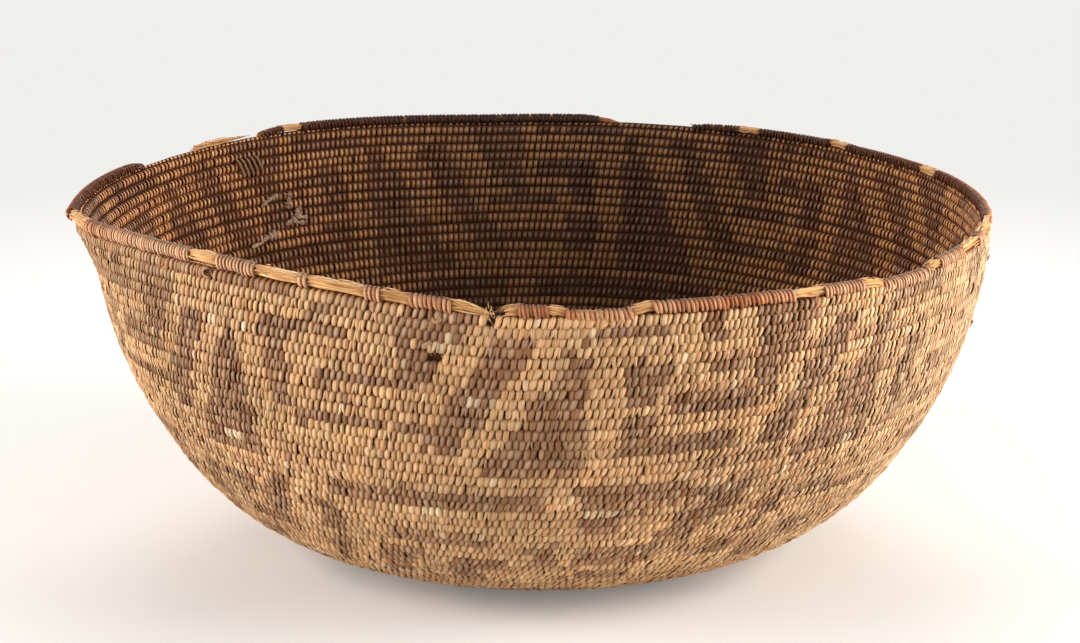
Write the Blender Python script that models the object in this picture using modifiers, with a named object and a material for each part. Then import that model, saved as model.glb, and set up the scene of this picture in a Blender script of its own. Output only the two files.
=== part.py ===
"""A large coiled bowl basket, as it would come apart on a bench.

One long bundle of split stems winds out from a small knot, over the flat base, up the wall and
round to the rim. It is cut here into lengths of two rounds and a little, which butt end to end.
Towards the rim the rounds grow finer, the last one tapers away, so that it ends without a step,
and age has warped the rim a little.
On it lie the broken lengths of the rim bundle, the runs of binding that still hold them, and
inside, near the rim, an old mend.

The bowl stands on z = 0 with its axis on Z. Azimuths are counted from the front, which is -Y,
and grow towards +X. Distances "along" are measured on the coil's centre line, from the axis out
over the base and up the wall.
"""

import math

import bmesh
import bpy
import numpy as np
from mathutils import Vector

# The bowl, in metres
RIM_RADIUS = 0.220
HEIGHT = 0.171
BASE_RADIUS = 0.0594
ROUNDS = 61
COIL_RADIUS = 0.00274
GAP = 0.0003
FLAT_CUT = 0.0005

# The wall's outer line as a Bezier curve: out along the floor, round the turn and up to the rim
WALL_LINE = (
    (BASE_RADIUS, 0.0),
    (0.180, 0.0),
    (0.170, 0.072),
    (0.213, 0.068),
    (RIM_RADIUS, HEIGHT),
)

# Towards the rim the rounds grow finer: from which one on, and how fine the last one is
FINER_FROM = 46
FINEST = 0.86

# The coil: its corners in a round, and how far each length runs
CORNERS = 20
LENGTH_CORNERS = 2 * CORNERS + 1
THIN_END = 0.1

# Age has pulled the rim out at the left and let it sag a little at both sides
LIP_AZIMUTH = math.radians(-93)
LIP_SPREAD = math.radians(38)
LIP_PULL = 0.0132
LIP_DEPTH = 0.030
LIP_FADE = 1.3
RIM_SAG = 0.002

# Two stretches of the rim stand higher: middle, reach to each side, and height at the middle
RIM_HILLS = (
    (math.radians(-45), math.radians(42), 0.0104),
    (math.radians(-130), math.radians(42), 0.0050),
)
HILL_ROUNDNESS = 1.2
HILL_FADE = 2

# The knot that the coil starts round
KNOT_RADIUS = 0.0060
KNOT_HEIGHT = 0.0046
KNOT_EDGE = 0.0012

# What is left of the rim bundle, in degrees of azimuth
RIM_BUNDLE_RADIUS = 0.0027
RIM_LENGTHS = {
    "rim_bundle_front_left": (-84.6, -5.6),
    "rim_bundle_right": (-4.6, 157.9),
    "rim_bundle_back": (168.4, 224.7),
    "rim_bundle_flake": (227.5, 237.7),
    "rim_bundle_back_left": (247.5, 273.6),
}

# The runs of sewing that still bind the rim bundle, in degrees of azimuth
BINDING_THICKNESS = 0.0005
BINDING_RUNS = (
    (-73.5, -45.6),
    (-40.9, -34.9),
    (-28.8, -27.6),
    (-20.4, -18.4),
    (-15.0, -10.1),
    (-2.6, 0.8),
    (2.7, 10.4),
    (12.7, 30.4),
    (34.6, 40.9),
    (44.5, 53.8),
    (56.3, 63.2),
    (69.7, 72.7),
    (82.6, 110.5),
    (114.9, 131.2),
    (134.2, 146.9),
    (150.1, 157.4),
    (168.9, 217.1),
    (220.2, 224.2),
    (248.0, 273.2),
)

# An old mend inside: parallel strands that slant over two rounds below the rim
MEND_STRANDS = 5
MEND_RADIUS = 0.0008
MEND_TOP = (229.6, 2.65)
MEND_FOOT = (228.5, 4.4)
MEND_STEP = 0.92

# Colours and finish, from the photograph
COIL_COLOUR = (0.48, 0.31, 0.17)
BASE_COLOUR = (0.42, 0.27, 0.15)
KNOT_COLOUR = (0.05, 0.035, 0.03)
BUNDLE_COLOUR = (0.62, 0.38, 0.14)
BINDING_COLOUR = (0.24, 0.11, 0.07)
MEND_COLOUR = (0.40, 0.29, 0.20)
DRY_ROUGHNESS = 0.75
WORN_ROUGHNESS = 0.6

# How finely the outer line is measured, and how close points are one
FLOOR_SAMPLES = 60
WALL_SAMPLES = 600
WELD_DISTANCE = 1e-6


def clear_scene():
    for old in list(bpy.data.objects):
        bpy.data.objects.remove(old, do_unlink=True)


def new_collection(name):
    collection = bpy.data.collections.new(name)
    bpy.context.scene.collection.children.link(collection)
    return collection


def finish_material(name, colour, roughness):
    material = bpy.data.materials.new(name)
    material.use_nodes = True
    shader = material.node_tree.nodes["Principled BSDF"]
    shader.inputs["Base Color"].default_value = (*colour, 1.0)
    shader.inputs["Roughness"].default_value = roughness
    shader.inputs["Metallic"].default_value = 0.0
    return material


def bezier(points, t):
    """A Bezier curve of any degree: its points weighted by the Bernstein polynomials of t."""
    degree = len(points) - 1
    weights = [math.comb(degree, i) * t**i * (1 - t) ** (degree - i) for i in range(degree + 1)]
    return np.stack(weights, axis=1) @ np.array(points)


def centre_line():
    """Length, radius and height along the coil's centre line: the outer line, moved inwards."""
    floor_radii = np.linspace(0.0, BASE_RADIUS, FLOOR_SAMPLES, endpoint=False)
    floor = np.stack([floor_radii, np.zeros_like(floor_radii)], axis=1)
    outer = np.concatenate([floor, bezier(WALL_LINE, np.linspace(0.0, 1.0, WALL_SAMPLES))])
    outer[:, 1] -= FLAT_CUT * (1 - outer[:, 1] / HEIGHT)
    forward = np.gradient(outer, axis=0)
    forward /= np.linalg.norm(forward, axis=1)[:, None]
    inward = np.stack([-forward[:, 1], forward[:, 0]], axis=1)
    centre = outer + COIL_RADIUS * inward
    steps = np.linalg.norm(np.diff(centre, axis=0), axis=1)
    return np.concatenate([[0.0], np.cumsum(steps)]), centre[:, 0], centre[:, 1]


ALONG, RADII, HEIGHTS = centre_line()
COIL_ROUNDS = ROUNDS - 1
PITCH = ALONG[-1] / (ROUNDS - (1 - FINEST) * (COIL_ROUNDS - FINER_FROM) / 2)
HALF_FLAT = COIL_RADIUS * math.cos(math.radians(30))
FIRST_FULL_TURN = (KNOT_RADIUS + 2 * GAP + HALF_FLAT) / PITCH
START_TURN = FIRST_FULL_TURN - 1 + THIN_END
LAST_FULL_TURN = COIL_ROUNDS - 0.5
END_TURN = LAST_FULL_TURN + 1 - THIN_END
RIM_ALONG = ALONG[-1] - PITCH + GAP / 2 + RIM_BUNDLE_RADIUS * math.cos(math.radians(30))


def coil_size(turn):
    """How thick the coil is at a turn: 1 lower down, and shrinking evenly to FINEST at the rim."""
    return 1 - (1 - FINEST) * max(0.0, turn - FINER_FROM) / (COIL_ROUNDS - FINER_FROM)


def coil_along(turn):
    """How far along the wall the coil is at a turn: the rounds' thicknesses, added up."""
    finer = max(0.0, turn - FINER_FROM)
    return PITCH * (turn - (1 - FINEST) * finer**2 / (COIL_ROUNDS - FINER_FROM) / 2)


def lip_pull(along, azimuth):
    """How far the wall is pulled out: most at the rim in the lip's middle, fading both ways."""
    below_rim = (ALONG[-1] - along) / LIP_DEPTH
    aside = math.remainder(azimuth - LIP_AZIMUTH, math.tau) / LIP_SPREAD
    if below_rim >= 1 or abs(aside) >= 1:
        return 0.0
    return LIP_PULL * (1 - below_rim) ** LIP_FADE * math.cos(aside * math.pi / 2) ** 2


def rim_lift(azimuth):
    """How far the rim stands above its level here: each hill is a rounded cosine."""
    lift = 0.0
    for middle, reach, rise in RIM_HILLS:
        aside = abs(math.remainder(azimuth - middle, math.tau)) / reach
        if aside < 1:
            lift += rise * math.cos(aside * math.pi / 2) ** HILL_ROUNDNESS
    return lift


def wall_point(along, azimuth):
    """Radius and height of the coil's centre, with the lip's pull, the rim's sag and its hills.

    The sag fades evenly down to the floor, and the hills fade with the square of the height.
    """
    radius = np.interp(along, ALONG, RADII) + lip_pull(along, azimuth)
    height = np.interp(along, ALONG, HEIGHTS)
    share = height / HEIGHT
    sag = RIM_SAG * math.sin(azimuth) ** 2 * share
    return radius, height - sag + rim_lift(azimuth) * share**HILL_FADE


def lean_of(along, azimuth):
    """How far the wall leans out: nothing where it is upright, a quarter turn on the base."""
    lower_radius, lower_height = wall_point(along - PITCH / 2, azimuth)
    upper_radius, upper_height = wall_point(along + PITCH / 2, azimuth)
    return math.atan2(upper_radius - lower_radius, upper_height - lower_height)


def corner(along, azimuth, size=1.0, inward=0.0):
    """One point of a tube's path as x, y, z, lean and size, moved off the wall's middle."""
    radius, height = wall_point(along, azimuth)
    lean = lean_of(along, azimuth)
    radius -= inward * math.cos(lean)
    height += inward * math.sin(lean)
    return np.array([radius * math.sin(azimuth), -radius * math.cos(azimuth), height, lean, size])


def coil_corner(number):
    """A corner of the long coil.

    In its first round it thickens against the knot, and past its last full round it thins and
    keeps the place of its top, so that the rim has no step.
    """
    turn = number / CORNERS
    along = coil_along(turn)
    size = coil_size(turn)
    if turn < FIRST_FULL_TURN:
        size = 1.0 - (FIRST_FULL_TURN - turn)
        along += (1.0 - size) * PITCH / 2
    elif turn > LAST_FULL_TURN:
        size = FINEST * (1.0 - (turn - LAST_FULL_TURN))
        along = coil_along(COIL_ROUNDS) - size * PITCH / 2
    return corner(along, math.tau * turn + math.pi, size)


def ring_corner(degrees, along, inward=0.0):
    """A point on a closed ring whose corners stand above the coil's own corners."""
    step = 360 / CORNERS
    before = math.floor(degrees / step)
    share = degrees / step - before
    ends = [corner(along, math.radians(step * n), 1.0, inward) for n in (before, before + 1)]
    return (1 - share) * ends[0] + share * ends[1]


def ring_path(first, last, along):
    """A stretch of that ring from one azimuth to another, both in degrees."""
    step = 360 / CORNERS
    inner = [step * n for n in range(math.ceil(first / step), math.floor(last / step) + 1)]
    return [ring_corner(degrees, along) for degrees in (first, *inner, last)]


def shortened(path, cut):
    """The path with each end drawn back along its own chord."""
    path = [point.copy() for point in path]
    for end, beside in ((0, 1), (-1, -2)):
        chord = path[beside] - path[end]
        path[end] += chord * cut / np.linalg.norm(chord[:3])
    return path


def tube(name, path, radius, colour, collection, section=None):
    """A tube along a path: six-sided and of this radius, or of the section object's outline."""
    curve = bpy.data.curves.new(name, "CURVE")
    curve.dimensions = "3D"
    curve.twist_mode = "Z_UP"
    curve.use_fill_caps = True
    if section is None:
        curve.bevel_depth = radius
        curve.bevel_resolution = 1
    else:
        curve.bevel_mode = "OBJECT"
        curve.bevel_object = section
    spline = curve.splines.new("POLY")
    spline.points.add(len(path) - 1)
    for point, (x, y, z, lean, size) in zip(spline.points, path):
        point.co = (x, y, z, 1.0)
        point.tilt = lean
        point.radius = size
    curve.materials.append(finish_material(name, colour, DRY_ROUGHNESS))
    tube_object = bpy.data.objects.new(name, curve)
    collection.objects.link(tube_object)
    return tube_object


def as_mesh(curve_object):
    """The same tube as a mesh with its caps welded, in the curve's place."""
    bpy.context.view_layer.update()
    graph = bpy.context.evaluated_depsgraph_get()
    mesh = bpy.data.meshes.new_from_object(curve_object.evaluated_get(graph))
    welding = bmesh.new()
    welding.from_mesh(mesh)
    bmesh.ops.remove_doubles(welding, verts=welding.verts, dist=WELD_DISTANCE)
    bmesh.ops.recalc_face_normals(welding, faces=welding.faces)
    welding.to_mesh(mesh)
    welding.free()
    name = curve_object.name
    collection = curve_object.users_collection[0]
    mesh_object = bpy.data.objects.new(name + "_mesh", mesh)
    mesh_object.matrix_world = curve_object.matrix_world.copy()
    collection.objects.link(mesh_object)
    bpy.data.objects.remove(curve_object, do_unlink=True)
    mesh_object.name = name
    return mesh_object


def floor_cutter(collection):
    """A block under the floor, which cuts the foot of the basket flat."""
    depth = 10 * FLAT_CUT
    bpy.ops.mesh.primitive_cube_add(size=1.0, location=(0.0, 0.0, -depth / 2))
    block = bpy.context.active_object
    block.name = "floor_cutter"
    block.scale = (2 * RIM_RADIUS, 2 * RIM_RADIUS, depth)
    block.hide_render = True
    block.display_type = "WIRE"
    for holder in block.users_collection:
        holder.objects.unlink(block)
    collection.objects.link(block)
    return block


def cut_flat(tube_object, cutter):
    solid = as_mesh(tube_object)
    flat = solid.modifiers.new("flat foot", "BOOLEAN")
    flat.operation = "DIFFERENCE"
    flat.solver = "EXACT"
    flat.object = cutter


def start_knot(collection):
    """The knot that the coil starts round: a low round button, flat underneath."""
    bpy.ops.mesh.primitive_cylinder_add(
        vertices=CORNERS, radius=KNOT_RADIUS, depth=KNOT_HEIGHT, location=(0.0, 0.0, KNOT_HEIGHT / 2)
    )
    knot = bpy.context.active_object
    knot.name = "start_knot"
    for holder in knot.users_collection:
        holder.objects.unlink(knot)
    collection.objects.link(knot)
    edge = knot.modifiers.new("worn edge", "BEVEL")
    edge.width = KNOT_EDGE
    edge.segments = 2
    knot.data.materials.append(finish_material("start_knot", KNOT_COLOUR, WORN_ROUGHNESS))
    knot.data.shade_smooth()
    knot.data.set_sharp_from_angle(angle=math.radians(40))


def coil_lengths(collection, cutter):
    """The long bundle from the knot to the rim, in lengths that butt in the middle of a chord."""
    first = math.ceil(START_TURN * CORNERS)
    end = math.floor(END_TURN * CORNERS)
    counts = {"base_coil": 0, "wall_coil": 0}
    for start in range(first, end - LENGTH_CORNERS // 2, LENGTH_CORNERS):
        stop = start + LENGTH_CORNERS
        if end - stop < LENGTH_CORNERS // 2:
            stop = end
        path = [coil_corner(number) for number in range(start, stop + 1)]
        if start > first:
            path[0] = (path[0] + path[1]) / 2
        if stop < end:
            path.append((path[-1] + coil_corner(stop + 1)) / 2)
        middle = (start + stop) / 2 / CORNERS * PITCH
        kind = "base_coil" if middle < BASE_RADIUS else "wall_coil"
        colour = BASE_COLOUR if kind == "base_coil" else COIL_COLOUR
        counts[kind] += 1
        name = f"{kind}_{counts[kind]:02d}"
        length = tube(name, shortened(path, GAP / 2), COIL_RADIUS, colour, collection)
        if min(point[2] for point in path) < COIL_RADIUS:
            cut_flat(length, cutter)
    print("coil lengths:", counts)


def rim_bundle(collection):
    """The lengths of rim bundle that are left, lying on the last round."""
    for name, (first, last) in RIM_LENGTHS.items():
        path = ring_path(first, last, RIM_ALONG)
        tube(name, path, RIM_BUNDLE_RADIUS, BUNDLE_COLOUR, collection)


def binding_section(collection):
    """The binding's cross-section: a thin shell over the bundle's upper sides, open below."""
    middle_of_side = math.cos(math.radians(30))
    inner = RIM_BUNDLE_RADIUS + GAP / middle_of_side
    outer = inner + BINDING_THICKNESS / middle_of_side
    turns = [(-30, middle_of_side), (0, 1), (60, 1), (120, 1), (180, 1), (210, middle_of_side)]
    outline = [(inner * reach, degrees) for degrees, reach in turns]
    outline += [(outer * reach, degrees) for degrees, reach in reversed(turns)]
    curve = bpy.data.curves.new("binding_section", "CURVE")
    curve.dimensions = "2D"
    spline = curve.splines.new("POLY")
    spline.points.add(len(outline) - 1)
    for point, (distance, degrees) in zip(spline.points, outline):
        turn = math.radians(degrees)
        point.co = (distance * math.cos(turn), distance * math.sin(turn), 0.0, 1.0)
    spline.use_cyclic_u = True
    guide = bpy.data.objects.new("binding_section", curve)
    guide.hide_render = True
    guide.display_type = "WIRE"
    collection.objects.link(guide)
    return guide


def rim_bindings(collection, section):
    """The runs of sewing over the rim, numbered round from the left lip."""
    for number, (first, last) in enumerate(BINDING_RUNS, start=1):
        path = ring_path(first, last, RIM_ALONG)
        name = f"rim_binding_{number:02d}"
        tube(name, path, None, BINDING_COLOUR, collection, section)


def mend(collection):
    """Five strands side by side over the inside of the wall, each a straight stitch."""
    inward = COIL_RADIUS + GAP + MEND_RADIUS
    for number in range(MEND_STRANDS):
        ends = []
        for degrees, rounds_down in (MEND_TOP, MEND_FOOT):
            along = ALONG[-1] - rounds_down * PITCH
            ends.append(ring_corner(degrees - MEND_STEP * number, along, inward))
        path = [ends[0], (ends[0] + ends[1]) / 2, ends[1]]
        tube(f"mend_strand_{number + 1:02d}", path, MEND_RADIUS, MEND_COLOUR, collection)


def report_gaps():
    """Prints the coil's pitch and the least gap between one round's corners and the next's."""
    least = PITCH
    first = math.ceil(FIRST_FULL_TURN * CORNERS)
    last = math.floor((LAST_FULL_TURN - 1) * CORNERS)
    for number in range(first, last):
        here, above = coil_corner(number), coil_corner(number + CORNERS)
        thickness = HALF_FLAT * (here[4] + above[4])
        least = min(least, Vector(above[:3] - here[:3]).length - thickness)
    print(f"pitch {PITCH * 1000:.3f} mm, least gap between rounds {least * 1000:.3f} mm")


def build():
    clear_scene()
    basket = new_collection("coiled_basket")
    guides = new_collection("basket_cutters")
    start_knot(basket)
    coil_lengths(basket, floor_cutter(guides))
    rim_bundle(basket)
    rim_bindings(basket, binding_section(guides))
    mend(basket)
    report_gaps()


build()
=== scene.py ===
# %% [markdown]
# A large coiled basket bowl, worn by long use.
# The real one is a bundle of split stems, wound in rounds from a small knot out to the rim. Every
# round is sewn to the one below with splints of two plants, one pale and one dark, and the dark
# ones draw a fret round the bowl. Here the bundle, each stitch, the rim and its wear are made one
# by one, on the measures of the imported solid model, which stays hidden underneath.

# %% The frame
import math

import bpy
import numpy as np
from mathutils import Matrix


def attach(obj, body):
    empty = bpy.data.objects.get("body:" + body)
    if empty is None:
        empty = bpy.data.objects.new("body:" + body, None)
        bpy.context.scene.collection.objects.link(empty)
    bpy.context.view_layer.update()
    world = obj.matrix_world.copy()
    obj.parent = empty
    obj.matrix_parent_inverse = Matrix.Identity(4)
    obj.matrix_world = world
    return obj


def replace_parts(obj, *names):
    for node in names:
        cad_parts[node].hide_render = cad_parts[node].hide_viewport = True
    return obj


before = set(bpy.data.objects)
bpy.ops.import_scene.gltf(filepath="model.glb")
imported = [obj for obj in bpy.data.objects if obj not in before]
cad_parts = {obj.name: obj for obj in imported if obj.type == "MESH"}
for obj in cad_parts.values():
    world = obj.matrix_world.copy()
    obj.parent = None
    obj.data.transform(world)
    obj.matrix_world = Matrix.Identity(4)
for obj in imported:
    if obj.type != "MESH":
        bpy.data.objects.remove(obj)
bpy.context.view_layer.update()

# %% [markdown]
# The bowl's measures are those of the solid model: its rim, its height, the line of its wall and
# the number of rounds. Everything below is placed with them, so each piece lies where its solid is.
# Azimuths are counted from the front and grow to the right. A "turn" is a place on the long coil,
# in rounds from the middle, and "down" is counted in rounds from the top of the rim.

# %% Measures of the bowl
RIM_RADIUS = 0.220
HEIGHT = 0.171
BASE_RADIUS = 0.0594
ROUNDS = 61
COIL_RADIUS = 0.00274
# Towards the rim the rounds grow finer: from which one on, and how fine the last one is
FINER_FROM = 46
FINEST = 0.86
# The foot is worn flat, so there the coil's line is let down by this much
FLAT_CUT = 0.0005
WALL_LINE = ((BASE_RADIUS, 0.0), (0.180, 0.0), (0.170, 0.072), (0.213, 0.068), (RIM_RADIUS, HEIGHT))

# The left side is drawn out to a lip: its middle and reach round the rim, how far it is pulled
# out, how deep below the rim that begins, and how fast it fades
LIP_AZIMUTH = math.radians(-93)
LIP_SPREAD = math.radians(38)
LIP_PULL = 0.0132
LIP_DEPTH = 0.030
LIP_FADE = 1.3
# The rim hangs this much lower at both sides than in front
RIM_SAG = 0.002
# Two stretches of the rim stand higher: middle, reach to each side, and height at the middle
RIM_HILLS = (
    (math.radians(-45), math.radians(42), 0.0104),
    (math.radians(-130), math.radians(42), 0.0050),
)
# The power of a hill's cosine, and the power of the height with which it fades lower down
HILL_ROUNDNESS = 1.2
HILL_FADE = 2

KNOT_RADIUS = 0.0060
KNOT_HEIGHT = 0.0046
# The small gap that keeps neighbouring solids apart
GAP = 0.0003
RIM_BUNDLE_RADIUS = 0.0027
print(f"{ROUNDS} rounds, a rim {RIM_RADIUS * 2000:.0f} mm wide and {HEIGHT * 1000:.0f} mm high")

# %% [markdown]
# The wall's line is a Bezier curve, as in the solid model. The coil's middle runs at a constant
# distance inside it. Once its length is measured, a place on the coil is one number, the turn, and
# the wall's lean at that place gives the two directions that every piece is built along: out of
# the wall, and up it.

# %% The wall's line and the coil's middle
def bezier(points, t):
    """A Bezier curve of any degree: its points weighted by the Bernstein polynomials of t."""
    degree = len(points) - 1
    weights = [math.comb(degree, i) * t**i * (1 - t) ** (degree - i) for i in range(degree + 1)]
    return np.stack(weights, axis=1) @ np.array(points)


def centre_line():
    """Length, radius and height along the coil's middle: the outer line, moved inwards."""
    floor_radii = np.linspace(0.0, BASE_RADIUS, 60, endpoint=False)
    floor = np.stack([floor_radii, np.zeros_like(floor_radii)], axis=1)
    outer = np.concatenate([floor, bezier(WALL_LINE, np.linspace(0.0, 1.0, 600))])
    outer[:, 1] -= FLAT_CUT * (1 - outer[:, 1] / HEIGHT)
    forward = np.gradient(outer, axis=0)
    forward /= np.linalg.norm(forward, axis=1)[:, None]
    inward = np.stack([-forward[:, 1], forward[:, 0]], axis=1)
    centre = outer + COIL_RADIUS * inward
    steps = np.linalg.norm(np.diff(centre, axis=0), axis=1)
    return np.concatenate([[0.0], np.cumsum(steps)]), centre[:, 0], centre[:, 1]


ALONG, RADII, HEIGHTS = centre_line()
COIL_ROUNDS = ROUNDS - 1
PITCH = ALONG[-1] / (ROUNDS - (1 - FINEST) * (COIL_ROUNDS - FINER_FROM) / 2)
HALF_FLAT = COIL_RADIUS * math.cos(math.radians(30))
FIRST_FULL_TURN = (KNOT_RADIUS + 2 * GAP + HALF_FLAT) / PITCH
START_TURN = FIRST_FULL_TURN - 0.9
LAST_FULL_TURN = COIL_ROUNDS - 0.5
END_TURN = COIL_ROUNDS + 0.4
RIM_ALONG = ALONG[-1] - PITCH + GAP / 2 + RIM_BUNDLE_RADIUS * math.cos(math.radians(30))
print(f"pitch {PITCH * 1000:.2f} mm, at the rim {PITCH * FINEST * 1000:.2f} mm")
print(f"{ALONG[-1]:.3f} m from the middle up to the rim")


def rim_lift(azimuth):
    """How far the rim stands above its level: each hill is a rounded cosine of the azimuth."""
    lift = 0.0
    for middle, reach, rise in RIM_HILLS:
        aside = np.abs((azimuth - middle + math.pi) % math.tau - math.pi) / reach
        lift = lift + rise * np.cos(np.clip(aside, 0, 1) * math.pi / 2) ** HILL_ROUNDNESS
    return lift


def wall_lift(along, azimuth):
    """How far the wall is carried up at a place: the rim's lift, fading with the height squared."""
    return rim_lift(azimuth) * (np.interp(along, ALONG, HEIGHTS) / HEIGHT) ** HILL_FADE


def wall_middle(along, azimuth):
    """Radius and height of the wall's middle, with the lip pulled out, the rim's sag and hills."""
    below = (ALONG[-1] - along) / LIP_DEPTH
    aside = ((azimuth - LIP_AZIMUTH + math.pi) % math.tau - math.pi) / LIP_SPREAD
    reach = np.clip(1 - below, 0, None) ** LIP_FADE * np.cos(np.clip(aside, -1, 1) * math.pi / 2) ** 2
    radius = np.interp(along, ALONG, RADII) + LIP_PULL * reach
    height = np.interp(along, ALONG, HEIGHTS)
    # Past the rim's own level the line is carried on straight
    beyond = np.clip(along - ALONG[-1], 0, None)
    height = height + beyond
    sag = RIM_SAG * np.sin(azimuth) ** 2 * height / HEIGHT
    return radius, height - sag + wall_lift(along, azimuth)


def wall_frame(along, azimuth):
    """The middle of the wall and its unit directions: out of it, up it and round it."""
    along, azimuth = np.broadcast_arrays(np.asarray(along, float), np.asarray(azimuth, float))
    low_radius, low_height = wall_middle(along - PITCH / 2, azimuth)
    high_radius, high_height = wall_middle(along + PITCH / 2, azimuth)
    lean = np.arctan2(high_radius - low_radius, high_height - low_height)
    radius, height = wall_middle(along, azimuth)
    sine, cosine, flat = np.sin(azimuth), np.cos(azimuth), np.zeros_like(azimuth)
    radial = np.stack([sine, -cosine, flat], axis=-1)
    upright = np.array([0.0, 0.0, 1.0])
    middle = radius[..., None] * radial + height[..., None] * upright
    outward = np.cos(lean)[..., None] * radial - np.sin(lean)[..., None] * upright
    upward = np.sin(lean)[..., None] * radial + np.cos(lean)[..., None] * upright
    around = np.stack([cosine, sine, flat], axis=-1)
    return middle, outward, upward, around


def on_wall(down, degrees):
    """The wall's frame at a place given in rounds below the rim's top, and degrees."""
    return wall_frame(ALONG[-1] - down * PITCH, np.radians(degrees))


def hand_drift(turn):
    """How far the maker's hand let a round wander up or down the wall: a few slow waves.

    Two waves change from round to round, so some rounds are thicker, and two only round the bowl.
    It fades out below the rim, so that the rim lies close on the last round.
    """
    azimuth = math.tau * turn + math.pi
    drift = 0.00030 * np.sin(math.tau * turn / 5.7 + 2 * np.sin(azimuth + 1))
    drift = drift + 0.00022 * np.sin(math.tau * turn / 3.3 + 3 * np.sin(2 * azimuth))
    drift = drift + 0.00040 * np.sin(3 * azimuth + turn / 7) + 0.00022 * np.sin(11 * azimuth + turn / 3)
    return drift * np.clip(turn / 10, 0, 1) * np.clip((COIL_ROUNDS - turn) / 4, 0, 1)


def coil_size(turn):
    """How thick the coil is at a turn: 1 lower down, and shrinking evenly to FINEST at the rim."""
    return 1 - (1 - FINEST) * np.clip(turn - FINER_FROM, 0, None) / (COIL_ROUNDS - FINER_FROM)


def coil_along(turn):
    """How far along the wall the coil is at a turn: the rounds' thicknesses, added up."""
    finer = np.clip(turn - FINER_FROM, 0, None)
    return PITCH * (turn - (1 - FINEST) * finer**2 / (COIL_ROUNDS - FINER_FROM) / 2)


def coil_place(turn):
    """Where the coil's middle runs at a turn: its distance along the wall, azimuth and thickness.

    The first round thickens against the knot, and the last one thins under the rim bundle.
    """
    turn = np.asarray(turn, float)
    growing = 1.0 - (FIRST_FULL_TURN - turn)
    thinning = 1.0 - (turn - LAST_FULL_TURN)
    size = np.clip(np.minimum(growing, thinning), 0.1, 1.0)
    side = np.where(turn < FIRST_FULL_TURN, 1.0, -1.0)
    moved = side * (0.5 - size / 2) * coil_size(turn) * PITCH
    return coil_along(turn) + moved + hand_drift(turn), math.tau * turn + math.pi, size * coil_size(turn)


# %% [markdown]
# Almost everything on a basket is a strand, thick or thin: the bundle, a stitch, a loose fibre.
# So one helper makes them all. A strand is rings of points, one ring after another, joined by
# four-sided faces and closed at both ends, and a whole field of strands is one array and one mesh.
# Each strand gets a cell of its own on a tidy map, so that its finish can be baked without seams.

# %% A helper that makes strands
def in_scene(name, data):
    """A new object in the scene, for a mesh, a camera or a lamp."""
    thing = bpy.data.objects.new(name, data)
    bpy.context.scene.collection.objects.link(thing)
    return thing


# The empty edge round each strand's cell on the map, as a share of the cell
CELL_MARGIN = 0.06


def strand_faces(count, rings, corners):
    """Vertex numbers of the side faces and the two end faces of every strand."""
    ring = np.arange(rings - 1)[:, None] * corners
    here = np.arange(corners)[None, :]
    beside = (here + 1) % corners
    sides = np.stack([ring + here, ring + beside, ring + corners + beside, ring + corners + here], axis=-1)
    ends = np.stack([np.arange(corners)[::-1], (rings - 1) * corners + np.arange(corners)])
    first = np.arange(count)[:, None, None] * rings * corners
    return sides.reshape(1, -1, 4) + first, ends[None] + first


def strand_maps(count, rings, corners):
    """Two maps over the same faces: along and across one strand, and each strand in its own cell."""
    v0, u0 = np.meshgrid(np.arange(rings - 1), np.arange(corners), indexing="ij")
    square = np.array([[0, 0], [1, 0], [1, 1], [0, 1]])
    u = (u0[..., None] + square[:, 0]) / corners
    v = (v0[..., None] + square[:, 1]) / (rings - 1)
    side = np.stack([u, v], axis=-1).reshape(-1, 2)
    across = np.arange(corners) / corners
    ends = np.concatenate([
        np.stack([across[::-1], np.zeros(corners)], axis=-1),
        np.stack([across, np.ones(corners)], axis=-1),
    ])
    cells = math.ceil(math.sqrt(count))
    corner = np.stack([np.arange(count) % cells, np.arange(count) // cells], axis=-1)
    return side, ends, corner[:, None, :], cells


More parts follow.
